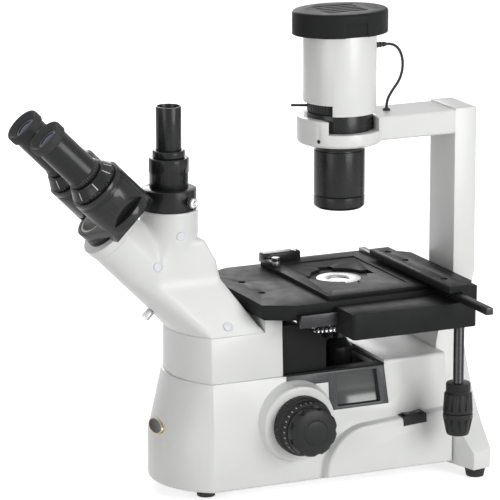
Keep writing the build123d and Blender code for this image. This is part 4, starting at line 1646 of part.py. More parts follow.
LAYERS = {"left": BOX_START, "right": BOX_START + WEB_HEIGHT + GAP}
for name, side in (("left", -1), ("right", 1)):
    own_layer = LAYERS[name]
    other_layer = LAYERS["right" if name == "left" else "left"]
    eye_centre = (side * EYE_HALF, EYE_RISE)
    tube_plane = along_tube(0)
    eye_plane = Plane(
        origin=tube_plane.from_local_coords(Vector(*eye_centre, 0)), x_dir=(1, 0, 0), z_dir=EYE_AXIS
    )

    # Prism box: web with its pivot eye, body with a slanting facet, tube for the eyepiece
    with BuildPart() as prism_box:
        with BuildSketch(eye_plane.offset(BOX_START)):
            Circle(BOX_RADIUS)
        extrude(amount=BOX_TOP - BOX_START)
        facet_start = side * (1 - FACET_SHARE) * BOX_RADIUS
        facet_plane = Plane(
            origin=eye_plane.from_local_coords(Vector(facet_start, 0, BOX_START)),
            x_dir=eye_plane.y_dir,
            z_dir=eye_plane.x_dir * (side * FACET_HEIGHT)
            - eye_plane.z_dir * (FACET_SHARE * BOX_RADIUS),
        )
        split(bisect_by=facet_plane, keep=Keep.BOTTOM)
        for groove in (1, 2):
            with BuildSketch(eye_plane.offset(BOX_TOP - 2 * groove * BOX_GROOVE - 4 * BOX_GROOVE)):
                Circle(BOX_RADIUS + OVERRUN)
                Circle(BOX_RADIUS - BOX_GROOVE / 2, mode=Mode.SUBTRACT)
            extrude(amount=BOX_GROOVE, mode=Mode.SUBTRACT)
        with BuildSketch(along_tube(other_layer - GAP)):
            Circle(PIVOT_DISC_RADIUS + RELIEF_SPARE)
        extrude(amount=WEB_HEIGHT + 2 * GAP, mode=Mode.SUBTRACT)
        extrude(to_extrude=web_outline(side, own_layer), amount=WEB_HEIGHT)
        with BuildSketch(along_tube(BOX_START - OVERRUN)):
            Circle(PIVOT_PIN_RADIUS + FIT)
        extrude(amount=2 * WEB_HEIGHT + 2 * GAP + OVERRUN, mode=Mode.SUBTRACT)
        with BuildSketch(eye_plane.offset(BOX_TOP - GRIP_DEPTH)):
            Circle(EYE_TUBE_RADIUS)
        extrude(amount=EYEPIECE_START - BOX_TOP + GRIP_DEPTH)
        with BuildSketch(eye_plane.offset(BOX_TOP_START + WEB_HEIGHT)):
            Circle(EYE_TUBE_BORE)
        extrude(amount=EYEPIECE_START - BOX_TOP_START, mode=Mode.SUBTRACT)
    prism_box.part.label = f"{name}_prism_box"
    export_step(prism_box.part, f"parts/{name}_prism_box.step")

    # Scale ring: the dioptre setting, turning on the tube under the eyepiece
    with BuildPart() as scale_ring:
        scale = turned_outline(
            (EYE_TUBE_RADIUS + FIT, SCALE_START),
            (SCALE_RADIUS, SCALE_START),
            (SCALE_RADIUS, SCALE_START + SCALE_HEIGHT / 3),
            (SCALE_TOP_RADIUS, SCALE_END - GRIP_DEPTH),
            (SCALE_TOP_RADIUS - GRIP_DEPTH, SCALE_END),
            (EYE_TUBE_RADIUS + FIT, SCALE_END),
        )
        revolve(scale, axis=Axis.Z)
    scale_ring.part.location = eye_plane.location
    scale_ring.part.label = f"{name}_scale_ring"
    export_step(scale_ring.part, f"parts/{name}_scale_ring.step")

    # Eyepiece: spigot in the tube, barrel and eyecup; the eye lens sits in its mouth
    lens_seat = EYE_TOP - 2 * EYE_LENS_THICK
    with BuildPart() as eyepiece:
        barrel = turned_outline(
            (EYE_LENS_RADIUS, EYEPIECE_START - 2 * SCALE_HEIGHT),
            (EYE_TUBE_BORE - FIT, EYEPIECE_START - 2 * SCALE_HEIGHT),
            (EYE_TUBE_BORE - FIT, EYEPIECE_START),
            (EYEPIECE_RADIUS + GRIP_DEPTH, EYEPIECE_START),
            (EYEPIECE_RADIUS + GRIP_DEPTH, EYEPIECE_START + 3 * GRIP_DEPTH),
            (EYEPIECE_RADIUS, EYEPIECE_START + 4 * GRIP_DEPTH),
            (EYEPIECE_RADIUS, EYE_TOP - EYECUP_HEIGHT),
            (EYECUP_RADIUS, EYE_TOP - EYECUP_HEIGHT + GRIP_DEPTH),
            (EYECUP_RADIUS, EYE_TOP - GRIP_DEPTH),
            (EYECUP_RADIUS - GRIP_DEPTH, EYE_TOP),
            (EYECUP_RADIUS - 3 * GRIP_DEPTH, EYE_TOP),
            (EYE_LENS_RADIUS, lens_seat + EYE_LENS_THICK),
        )
        revolve(barrel, axis=Axis.Z)
    eyepiece.part.location = eye_plane.location
    eyepiece.part.label = f"{name}_eyepiece"
    export_step(eyepiece.part, f"parts/{name}_eyepiece.step")

    with BuildPart() as eye_lens:
        with BuildSketch(Plane.XZ):
            with BuildLine():
                Polyline(
                    (0, lens_seat + EYE_LENS_THICK),
                    (0, lens_seat - EYE_LENS_THICK / 2),
                    (EYE_LENS_RADIUS, lens_seat - EYE_LENS_THICK / 2),
                    (EYE_LENS_RADIUS, lens_seat + EYE_LENS_THICK / 2),
                )
                Spline(
                    (EYE_LENS_RADIUS, lens_seat + EYE_LENS_THICK / 2),
                    (0, lens_seat + EYE_LENS_THICK),
                    tangents=((-1, 1 / 2), (-1, 0)),
                )
            make_face()
        revolve(axis=Axis.Z)
    eye_lens.part.location = eye_plane.location
    eye_lens.part.label = f"{name}_eye_lens"
    export_step(eye_lens.part, f"parts/{name}_eye_lens.step")
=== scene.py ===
"""Inverted microscope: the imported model, dressed for a studio picture.

Sizes are in millimetres in the classes and turn into metres where a mesh is made. +X is the user's
right, +Y points away from the user and +Z is up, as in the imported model.
"""
import logging
import math
from collections.abc import Callable, Iterator, Sequence
from contextlib import contextmanager
from dataclasses import dataclass
from enum import Enum

import bmesh
import bpy
from mathutils import Matrix, Vector


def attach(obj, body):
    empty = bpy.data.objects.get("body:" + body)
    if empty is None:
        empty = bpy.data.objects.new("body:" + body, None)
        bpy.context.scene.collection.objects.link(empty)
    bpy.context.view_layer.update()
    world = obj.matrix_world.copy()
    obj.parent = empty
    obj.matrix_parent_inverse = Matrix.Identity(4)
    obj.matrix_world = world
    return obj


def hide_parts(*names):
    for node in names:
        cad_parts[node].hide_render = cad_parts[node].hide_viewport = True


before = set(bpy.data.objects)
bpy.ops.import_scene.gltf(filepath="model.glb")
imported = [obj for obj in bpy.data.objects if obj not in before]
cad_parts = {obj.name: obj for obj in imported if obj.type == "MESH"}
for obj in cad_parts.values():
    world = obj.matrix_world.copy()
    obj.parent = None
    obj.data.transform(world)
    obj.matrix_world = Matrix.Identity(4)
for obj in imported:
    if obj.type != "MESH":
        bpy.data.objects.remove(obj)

LOG = logging.getLogger("microscope")
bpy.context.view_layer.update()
MM = 0.001
Point = tuple[float, float, float]
Pair = tuple[float, float]
Colour = tuple[float, float, float]
Profile = Sequence[Pair]
Picker = Callable[[Vector, Vector], bool]
Piece = bpy.types.Object
Tree = bpy.types.NodeTree
Socket = bpy.types.NodeSocket
Inputs = dict[str | int, object]

UP: Point = (0.0, 0.0, 1.0)
DOWN: Point = (0.0, 0.0, -1.0)
RIGHT: Point = (1.0, 0.0, 0.0)
HALF_ROOT = math.sqrt(0.5)
EYE_AXIS: Point = (0.0, -HALF_ROOT, HALF_ROOT)
WHITE: Colour = (1.0, 1.0, 1.0)
BLACK: Colour = (0.0, 0.0, 0.0)


# Shader nodes


def feed(tree: Tree, node: bpy.types.Node, inputs: Inputs) -> None:
    """Set a node's inputs.

    Args:
        tree: the tree that holds the node.
        node: the node.
        inputs: for each input, its value or the socket that feeds it.
    """
    for key, value in inputs.items():
        if isinstance(value, Socket):
            tree.links.new(value, node.inputs[key])
        else:
            node.inputs[key].default_value = value


def add_node(tree: Tree, kind: str, inputs: Inputs, out: str, **settings: str) -> Socket:
    """Add a node.

    Args:
        tree: the tree that gets it.
        kind: its type, without the word ShaderNode.
        inputs: for each input, its value or the socket that feeds it.
        out: the name of the output that is wanted.
        settings: the node's own settings.

    Returns:
        The output.
    """
    node = tree.nodes.new(f"ShaderNode{kind}")
    for key, value in settings.items():
        setattr(node, key, value)
    feed(tree, node, inputs)
    return node.outputs[out]


# Finishes


COAT_ROUGH = 0.12
NOISE_LOW = 0.3
NOISE_HIGH = 0.7
WANDER_DETAIL = 3.0
SMUDGE_DETAIL = 4.0
SMUDGE_FINENESS = 3.5
SPECK_CORE = 0.12
SPECK_EDGE = 0.3
RING_WAVER = 0.4
BRUSH_STRETCH: Point = (0.03, 1.0, 1.0)
BUMP_STRENGTH = 0.5


class Grain(Enum):
    """The relief that a finish has on its surface."""

    PEEL = "sprayed paint"
    CRINKLE = "textured paint"
    BRUSHED = "ground lines"
    TURNED = "rings from the lathe"
    MOULDED = "fine moulded plastic"
    POLISHED = "polished"


GRAIN_DETAIL = {Grain.PEEL: 1.0, Grain.CRINKLE: 5.0, Grain.BRUSHED: 2.0, Grain.MOULDED: 2.0}


@dataclass(frozen=True)
class Finish:
    """One finish: its colour, how far that wanders, its gloss and its relief."""

    name: str
    colour: Colour
    rough: Pair = (0.35, 0.45)
    metallic: float = 0.0
    grain: Grain = Grain.PEEL
    grain_scale: float = 900.0
    grain_depth: float = 0.02
    tone: float = 0.04
    tone_scale: float = 14.0
    specks: float = 0.0
    coat: float = 0.0
    specular: float = 0.5
    clear: float = 0.0
    index: float = 1.45

    def material(self) -> bpy.types.Material:
        """Return the node material of this finish, made once.

        Returns:
            The material, whose patterns read Object coordinates.
        """
        made = bpy.data.materials.get(self.name)
        if made:
            return made
        made = bpy.data.materials.new(self.name)
        made.use_nodes = True
        tree = made.node_tree
        coords = add_node(tree, "TexCoord", {}, "Object")
        inputs = {
            "Base Color": self._colour(tree, coords), "Roughness": self._gloss(tree, coords),
            "Metallic": self.metallic, "Specular IOR Level": self.specular,
            "Coat Weight": self.coat, "Coat Roughness": COAT_ROUGH,
            "IOR": self.index, "Transmission Weight": self.clear,
        }
        if self.grain is not Grain.POLISHED:
            inputs["Normal"] = self._relief(tree, coords)
        feed(tree, tree.nodes["Principled BSDF"], inputs)
        made.diffuse_color = (*self.colour, 1.0)
        return made

    def _noise(self, tree: Tree, coords: Socket, scale: float, detail: float) -> Socket:
        """Return the factor of a noise texture of that scale, per metre."""
        inputs = {"Scale": scale, "Detail": detail, "Vector": coords}
        return add_node(tree, "TexNoise", inputs, "Fac")

    def _ramp(self, tree: Tree, value: Socket, low: tuple[float, Colour],
              high: tuple[float, Colour]) -> Socket:
        """Return the colour of a ramp over a value.

        Args:
            tree: the material's tree.
            value: what the ramp reads.
            low: the place and colour of the first stop.
            high: the place and colour of the last stop.

        Returns:
            The ramp's colour.
        """
        ramp = tree.nodes.new("ShaderNodeValToRGB")
        for stop, (where, colour) in zip(ramp.color_ramp.elements, (low, high)):
            stop.position = where
            stop.color = (*colour, 1.0)
        feed(tree, ramp, {"Fac": value})
        return ramp.outputs["Color"]

    def _colour(self, tree: Tree, coords: Socket) -> Socket:
        """Let the colour wander, and scatter pale specks where the finish has them.

        Args:
            tree: the material's tree.
            coords: the Object coordinates.

        Returns:
            The colour.
        """
        dark = tuple(part * (1.0 - self.tone) for part in self.colour)
        pale = tuple(min(1.0, part * (1.0 + self.tone)) for part in self.colour)
        clouds = self._noise(tree, coords, self.tone_scale, WANDER_DETAIL)
        wander = self._ramp(tree, clouds, (NOISE_LOW, dark), (NOISE_HIGH, pale))
        if not self.specks:
            return wander
        dots = add_node(tree, "TexVoronoi", {"Scale": self.grain_scale, "Vector": coords},
                        "Distance")
        mask = self._ramp(tree, dots, (SPECK_CORE, WHITE), (SPECK_EDGE, BLACK))
        speck = (self.specks, self.specks, self.specks, 1.0)
        return add_node(tree, "Mix", {"Factor": mask, "A": wander, "B": speck}, "Result",
                        data_type="RGBA")

    def _gloss(self, tree: Tree, coords: Socket) -> Socket:
        """Let the roughness vary in soft smudges between its two limits.

        Args:
            tree: the material's tree.
            coords: the Object coordinates.

        Returns:
            The roughness.
        """
        smudges = self._noise(tree, coords, SMUDGE_FINENESS * self.tone_scale, SMUDGE_DETAIL)
        return add_node(tree, "MapRange", {
            "From Min": NOISE_LOW, "From Max": NOISE_HIGH, "To Min": self.rough[0],
            "To Max": self.rough[1], "Value": smudges,
        }, "Result")

    def _relief(self, tree: Tree, coords: Socket) -> Socket:
        """Bump the surface with the grain.

        Args:
            tree: the material's tree.
            coords: the Object coordinates.

        Returns:
            The bumped normal.
        """
        if self.grain is Grain.TURNED:
            height = add_node(tree, "TexWave", {
                "Scale": self.grain_scale, "Distortion": RING_WAVER, "Vector": coords,
            }, "Fac", wave_type="RINGS", rings_direction="Z")
        else:
            if self.grain is Grain.BRUSHED:
                coords = add_node(tree, "Mapping", {"Scale": BRUSH_STRETCH, "Vector": coords},
                                 "Vector")
            height = self._noise(tree, coords, self.grain_scale, GRAIN_DETAIL[self.grain])
        return add_node(tree, "Bump", {
            "Strength": BUMP_STRENGTH, "Distance": self.grain_depth * MM, "Height": height,
        }, "Normal")


WHITE_ENAMEL = Finish("white enamel", (0.72, 0.728, 0.715), (0.28, 0.36), grain_scale=700.0,
                      tone=0.01, coat=0.08, specular=0.4)
WHITE_PLUG = Finish("white plug plastic", (0.70, 0.72, 0.76), (0.4, 0.5), grain=Grain.MOULDED,
                    grain_scale=2500.0, grain_depth=0.01, tone=0.02)
BLACK_STAGE = Finish("black stage enamel", (0.016, 0.0165, 0.0165), (0.44, 0.54),
                     grain=Grain.CRINKLE, grain_scale=1500.0, grain_depth=0.05, tone=0.12,
                     tone_scale=25.0, specular=0.1)
BLACK_SATIN = Finish("black satin anodising", (0.014, 0.0145, 0.0145), (0.22, 0.32),
                     grain=Grain.MOULDED, grain_scale=3000.0, grain_depth=0.012, tone=0.1,
                     specular=0.3)
BLACK_GLOSS = Finish("black gloss enamel", (0.014, 0.0145, 0.0145), (0.2, 0.3),
                     grain_scale=800.0, tone=0.1, coat=0.15, specular=0.3)
BLACK_PLASTIC = Finish("black knob plastic", (0.018, 0.0185, 0.0185), (0.34, 0.46),
                       grain=Grain.CRINKLE, grain_scale=2600.0, grain_depth=0.03, tone=0.12,
                       specular=0.25)
BEZEL_PLASTIC = Finish("speckled bezel plastic", (0.035, 0.037, 0.04), (0.34, 0.46),
                       grain=Grain.CRINKLE, grain_scale=1600.0, grain_depth=0.05, specks=0.16)
WINDOW_PANEL = Finish("dark window panel", (0.03, 0.037, 0.035), (0.1, 0.2), grain_scale=300.0,
                      tone=0.2, coat=0.4)
RUBBER = Finish("black rubber", (0.018, 0.018, 0.018), (0.6, 0.75), grain=Grain.MOULDED,
                grain_scale=1800.0, grain_depth=0.03, tone=0.15)
GROUND_STEEL = Finish("ground steel", (0.42, 0.42, 0.43), (0.24, 0.36), metallic=1.0,
                      grain=Grain.BRUSHED, grain_scale=4000.0, grain_depth=0.01, tone=0.05)
DARK_STEEL = Finish("blackened steel", (0.045, 0.045, 0.047), (0.25, 0.36), metallic=0.9,
                    grain=Grain.BRUSHED, grain_scale=3500.0, grain_depth=0.01, tone=0.08)
CHROME = Finish("satin chrome", (0.66, 0.66, 0.68), (0.1, 0.2), metallic=1.0, grain=Grain.MOULDED,
                grain_scale=2500.0, grain_depth=0.003, tone=0.03)
TURNED_RING = Finish("turned bright ring", (0.55, 0.55, 0.55), (0.3, 0.42), metallic=0.7,
                     grain=Grain.TURNED, grain_depth=0.01, tone=0.02)
BADGE_RIM = Finish("badge rim", (0.5, 0.42, 0.25), (0.22, 0.32), metallic=1.0, grain=Grain.BRUSHED,
                   grain_scale=3000.0, grain_depth=0.01, tone=0.05)
MARK_WHITE = Finish("white engraving paint", (0.62, 0.63, 0.62), (0.5, 0.6), grain=Grain.MOULDED,
                    grain_scale=3000.0, grain_depth=0.01, tone=0.05)
COATED_GLASS = Finish("coated glass", (0.02, 0.028, 0.06), (0.06, 0.12), grain=Grain.POLISHED,
                      tone=0.2, tone_scale=60.0, specular=0.45)
CLEAR_GLASS = Finish("clear glass", (0.86, 0.9, 0.92), (0.02, 0.04), grain=Grain.POLISHED,
                     tone=0.02, clear=0.85, index=1.5)
MIRROR = Finish("mirror", (0.86, 0.86, 0.87), (0.02, 0.05), metallic=1.0, grain=Grain.POLISHED,
                tone=0.01)
BOARD_GREEN = Finish("circuit board", (0.05, 0.2, 0.1), (0.3, 0.45), grain=Grain.MOULDED,
                     grain_scale=1500.0, tone=0.2, tone_scale=120.0)
CERAMIC = Finish("lamp ceramic", (0.74, 0.7, 0.62), (0.3, 0.4), grain_scale=1200.0)
BAND_COLOURS = tuple(
    Finish(f"{word} band", colour, (0.3, 0.4), grain_depth=0.01)
    for word, colour in (("yellow", (0.6, 0.42, 0.03)), ("red", (0.45, 0.03, 0.03)),
                         ("green", (0.04, 0.3, 0.1)), ("blue", (0.05, 0.16, 0.45)))
)


# Bench moves


SEAM = 0.001
SAME_POINT = 0.002
FLAT_ANGLE = math.radians(0.4)
SHARP_ANGLE = math.radians(32.0)
SKIN_ANGLE = math.radians(50.0)
SKIN_PASSES = 6
FLOW_GROUP = "flow"
SMALL_EDGE = 0.12
EDGE = 0.15
FACING = 0.9


def deselect() -> None:
    """Leave edit mode and deselect every object."""
    if bpy.context.object and bpy.context.object.mode != "OBJECT":
        bpy.ops.object.mode_set(mode="OBJECT")
    bpy.ops.object.select_all(action="DESELECT")


def focus(*pieces: Piece) -> None:
    """Select these pieces alone, the first one active."""
    deselect()
    for piece in pieces:
        piece.select_set(True)
    bpy.context.view_layer.objects.active = pieces[0]


@contextmanager
def editing(piece: Piece, kind: str = "FACE") -> Iterator[None]:
    """Hold one piece in edit mode with nothing of it selected.

    Args:
        piece: the piece to edit.
        kind: VERT, EDGE or FACE, the select mode.
    """
    focus(piece)
    bpy.ops.object.mode_set(mode="EDIT")
    bpy.ops.mesh.select_mode(type=kind)
    bpy.ops.mesh.select_all(action="DESELECT")
    try:
        yield
    finally:
        bpy.ops.object.mode_set(mode="OBJECT")


def pick_faces(piece: Piece, wanted: Picker) -> int:
    """Select faces of the piece in edit mode.

    Args:
        piece: the piece, in edit mode.
        wanted: takes a face's centre in millimetres and its normal, and says whether to pick it.

    Returns:
        How many faces are picked.
    """
    mesh = bmesh.from_edit_mesh(piece.data)
    count = 0
    for face in mesh.faces:
        chosen = wanted(face.calc_center_median() / MM, face.normal)
        face.select_set(chosen)
        count += chosen
    bmesh.update_edit_mesh(piece.data)
    return count


def paint(piece: Piece, finish: Finish,
          wanted: Picker | None = None) -> None:
    """Give a piece, or only some of its faces, a finish.

    Args:
        piece: the piece.
        finish: the finish.
        wanted: picks the faces by centre and normal; without it the whole piece is painted.
    """
    slots = piece.data.materials
    if wanted is None:
        slots.clear()
        slots.append(finish.material())
        return
    slots.append(finish.material())
    for face in piece.data.polygons:
        if wanted(face.center / MM, face.normal):
            face.material_index = len(slots) - 1


def turned(name: str, profile: Profile, sides: int, edge: float = 0.0, steps: int = 2,
           ring: bool = False) -> Piece:
    """Turn a piece about Z, as on a lathe, by extruding and scaling a circle.

    Args:
        name: the piece's name.
        profile: radius and height pairs, from the foot round to the top.
        sides: how many sides the circle has.
        edge: the width of the rounding of its edges in millimetres, or 0.
        steps: the segments of that rounding.
        ring: True for a piece with a bore, whose profile closes on its first pair.

    Returns:
        The closed piece.
    """
    deselect()
    radius, height = profile[0]
    bpy.ops.mesh.primitive_circle_add(
        vertices=sides, radius=radius * MM, location=(0, 0, height * MM),
        fill_type="NOTHING" if ring else "NGON",
    )
    piece = bpy.context.object
    piece.name = piece.data.name = name
    bpy.ops.object.transform_apply(location=True)
    path = [*profile[1:], profile[0]] if ring else profile[1:]
    extrude = bpy.ops.mesh.extrude_edges_move if ring else bpy.ops.mesh.extrude_region_move
    with editing(piece, "EDGE" if ring else "FACE"):
        bpy.ops.mesh.select_all(action="SELECT")
        for next_radius, next_height in path:
            extrude(TRANSFORM_OT_translate={"value": (0, 0, (next_height - height) * MM)})
            scale = next_radius / radius
            bpy.ops.transform.resize(value=(scale, scale, 1), center_override=(0, 0, 0))
            radius, height = next_radius, next_height
        bpy.ops.mesh.select_all(action="SELECT")
        bpy.ops.mesh.remove_doubles(threshold=SEAM * MM)
        bpy.ops.mesh.normals_make_consistent(inside=False)
    if edge:
        round_edges(piece, edge, steps)
    return piece


@dataclass(frozen=True)
class Band:
    """Picks faces of a turned piece in a band of heights, in steps round its axis."""

    low: float
    high: float
    sides: int
    every: int
    wide: int
    inner: float
    start: int = 0

    def __call__(self, centre: Vector, normal: Vector) -> bool:
        """Say whether a face lies in the band, on a picked side.

        Args:
            centre: the face's centre in millimetres.
            normal: its normal.

        Returns:
            True for a face that is picked.
        """
        if not self.low < centre.z < self.high or centre.xy.length < self.inner:
            return False
        side = round(math.atan2(centre.y, centre.x) / math.tau * self.sides - 0.5) % self.sides
        return (side - self.start) % self.every < self.wide


def groove(piece: Piece, depth: float, wanted: Picker) -> None:
    """Sink the picked faces into the piece.

    Args:
        piece: the piece.
        depth: how deep, in millimetres; a negative depth raises them.
        wanted: picks the faces.
    """
    with editing(piece):
        pick_faces(piece, wanted)
        bpy.ops.mesh.extrude_region_shrink_fatten(
            TRANSFORM_OT_shrink_fatten={"value": -depth * MM}
        )


def place(piece: Piece, origin: Point, axis: Sequence[float] = UP,
          across: Sequence[float] = RIGHT) -> None:
    """Move a piece that was made on Z to its place, in its mesh.

    Args:
        piece: the piece.
        origin: where its origin goes, in millimetres.
        axis: where its Z goes.
        across: the direction nearest to its X.
    """
    lift = Vector(axis).normalized()
    side = (Vector(across) - lift * Vector(across).dot(lift)).normalized()
    turn = Matrix((side, lift.cross(side), lift)).transposed().to_4x4()
    piece.matrix_world = Matrix.Translation(Vector(origin) * MM) @ turn
    focus(piece)
    bpy.ops.object.transform_apply(location=True, rotation=True, scale=True)


def outward(angle: float) -> Point:
    """Return the level direction at an angle from +X, in radians."""
    return (math.cos(angle), math.sin(angle), 0.0)


def round_edges(piece: Piece, width: float, steps: int = 2) -> None:
    """Round every sharp edge, and smooth the shading.

    Args:
        piece: the piece.
        width: the width of the rounding in millimetres.
        steps: the segments of the rounding.
    """
    focus(piece)
    bevel = piece.modifiers.new("edges", "BEVEL")
    bevel.width = width * MM
    bevel.segments = steps
    bevel.limit_method = "ANGLE"
    bevel.angle_limit = SHARP_ANGLE
    bevel.miter_outer = "MITER_ARC"
    bpy.ops.object.modifier_apply(modifier=bevel.name)
    bpy.ops.object.shade_smooth_by_angle(angle=SHARP_ANGLE)


def twin(piece: Piece, name: str) -> Piece:
    """Return a copy of a piece, with a mesh of its own."""
    copy = bpy.data.objects.new(name, piece.data.copy())
    bpy.context.scene.collection.objects.link(copy)
    return copy


def copied(name: str, node: str, flat: bool) -> Piece:
    """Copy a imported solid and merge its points.

    Args:
        name: the new piece's name.
        node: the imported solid.
        flat: whether triangles in one plane become one face.

    Returns:
        The copy.
    """
    piece = twin(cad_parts[node], name)
    with editing(piece, "VERT"):
        bpy.ops.mesh.select_all(action="SELECT")
        bpy.ops.mesh.remove_doubles(threshold=SAME_POINT * MM)
        if flat:
            bpy.ops.mesh.dissolve_limited(angle_limit=FLAT_ANGLE)
    return piece


def from_node(name: str, node: str, width: float) -> Piece:
    """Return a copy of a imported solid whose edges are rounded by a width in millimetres."""
    piece = copied(name, node, True)
    round_edges(piece, width)
    return piece


def softened(name: str, node: str, grid: float, passes: int, flow: Callable[[Vector], float],
             *walls: Piece) -> Piece:
    """Copy a packed casting as one even skin, and let its corners flow as cast metal does.

    Args:
        name: the new piece's name.
        node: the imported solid.
        grid: the size of the skin's faces in millimetres.
        passes: the rounds of smoothing.
        flow: gives 0 where the skin stays put and 1 where it flows, for a point in millimetres.
        walls: solids that become part of the casting.

    Returns:
        The casting.
    """
    piece = copied(name, node, False)
    focus(piece)
    bpy.ops.mesh.customdata_custom_splitnormals_clear()
    joined(name, (piece, *walls))
    piece.data.use_remesh_preserve_attributes = False
    piece.data.remesh_voxel_size = grid * MM
    bpy.ops.object.voxel_remesh()
    group = piece.vertex_groups.new(name=FLOW_GROUP)
    for vertex in piece.data.vertices:
        group.add([vertex.index], flow(vertex.co / MM), "REPLACE")
    for rounds, held in ((SKIN_PASSES, ""), (passes, FLOW_GROUP)):
        smoother = piece.modifiers.new("smoother", "SMOOTH")
        smoother.iterations = rounds
        smoother.vertex_group = held
        bpy.ops.object.modifier_apply(modifier=smoother.name)
    seat = piece.modifiers.new("seat", "SHRINKWRAP")
    seat.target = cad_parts[node]
    seat.vertex_group = FLOW_GROUP
    seat.invert_vertex_group = True
    bpy.ops.object.modifier_apply(modifier=seat.name)
    bpy.ops.object.shade_smooth_by_angle(angle=SKIN_ANGLE)
    piece.vertex_groups.clear()
    return piece


def cut(piece: Piece, *cutters: Piece) -> None:
    """Cut the cutters out of the piece, and delete them.

    Args:
        piece: the piece.
        cutters: closed solids.
    """
    for cutter in cutters:
        focus(piece)
        carve = piece.modifiers.new("carve", "BOOLEAN")
        carve.operation = "DIFFERENCE"
        carve.object = cutter
        bpy.ops.object.modifier_apply(modifier=carve.name)
        bpy.data.objects.remove(cutter)


def joined(name: str, pieces: Sequence[Piece]) -> Piece:
    """Join several solids into one piece.

    Args:
        name: the name of that piece.
        pieces: the solids.

    Returns:
        The first of them, which holds the others.
    """
    focus(*pieces)
    bpy.ops.object.join()
    pieces[0].name = pieces[0].data.name = name
    return pieces[0]


def block(name: str, low: Point, high: Point) -> Piece:
    """Add a box.

    Args:
        name: its name.
        low: its lowest corner, in millimetres.
        high: its highest corner.

    Returns:
        The box.
    """
    deselect()
    centre = (Vector(low) + Vector(high)) / 2 * MM
    bpy.ops.mesh.primitive_cube_add(size=1.0, location=centre)
    piece = bpy.context.object
    piece.name = piece.data.name = name
    piece.scale = (Vector(high) - Vector(low)) * MM
    bpy.ops.object.transform_apply(location=True, rotation=True, scale=True)
    return piece


def hand_over(piece: Piece, body: str, slot: str, *nodes: str) -> Piece:
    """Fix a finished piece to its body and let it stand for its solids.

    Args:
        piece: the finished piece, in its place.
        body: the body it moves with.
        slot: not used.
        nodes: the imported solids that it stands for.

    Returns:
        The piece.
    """
    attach(piece, body)
    if nodes:
        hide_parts(*nodes)
    LOG.info("%s rides on %s", piece.name, body)
    return piece


def keep_node(node: str, finish: Finish) -> None:
    """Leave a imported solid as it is, with a finish of its own."""
    paint(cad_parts[node], finish)
    LOG.info("%s keeps its shape", node)


def dress(*rows: tuple[str, str, str, str, Finish, float]) -> None:
    """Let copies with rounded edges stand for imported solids.

    Args:
        rows: for each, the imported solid, the copy's name, its body, its slot, its finish and the
            width of its rounding in millimetres.
    """
    for node, name, body, slot, finish, width in rows:
        piece = from_node(name, node, width)
        paint(piece, finish)
        hand_over(piece, body, slot, node)


# Sub-assemblies


@dataclass
class Screws:
    """The visible screws: pan heads below, cap screws in the stage, a set screw in the arm."""

    head_profile: Profile = ((3.4, 0.0), (3.4, 1.4), (2.9, 2.0))
    head_sides: int = 32
    socket_profile: Profile = ((1.5, 0.8), (1.5, 3.0))
    socket_sides: int = 6
    base_z: float = 10.0
    base_places: tuple[Pair, ...] = ((45.0, -136.0), (-45.0, -136.0), (45.0, 71.0), (-45.0, 71.0))
    stage_z: float = 182.0
    stage_places: tuple[Pair, ...] = ((22.0, -90.0), (-22.0, -90.0))
    arm_angle: float = math.radians(-55.0)
    arm_reach: float = 38.0
    arm_z: float = 324.0
    set_share: float = 1.85 / 3.4

    def build(self) -> None:
        """Make one head, copy it to its places and join the set."""
        pattern = turned("screw_pattern", self.head_profile, self.head_sides)
        cut(pattern, turned("socket", self.socket_profile, self.socket_sides))
        round_edges(pattern, SMALL_EDGE)
        seats = [((x, y, self.base_z), DOWN) for x, y in self.base_places]
        seats += [((x, y, self.stage_z), UP) for x, y in self.stage_places]
        heads = [twin(pattern, f"screw_{number}") for number in range(len(seats))]
        for head, (seat, axis) in zip(heads, seats):
            place(head, seat, axis)
        focus(pattern)
        pattern.scale = (self.set_share, self.set_share, 1.0)
        bpy.ops.object.transform_apply(scale=True)
        out = outward(self.arm_angle)
        place(pattern, (self.arm_reach * out[0], self.arm_reach * out[1], self.arm_z), out)
        screws = joined("stand_screw_heads", [*heads, pattern])
        paint(screws, DARK_STEEL)
        hand_over(screws, "stand", "steel", "stand_screws")


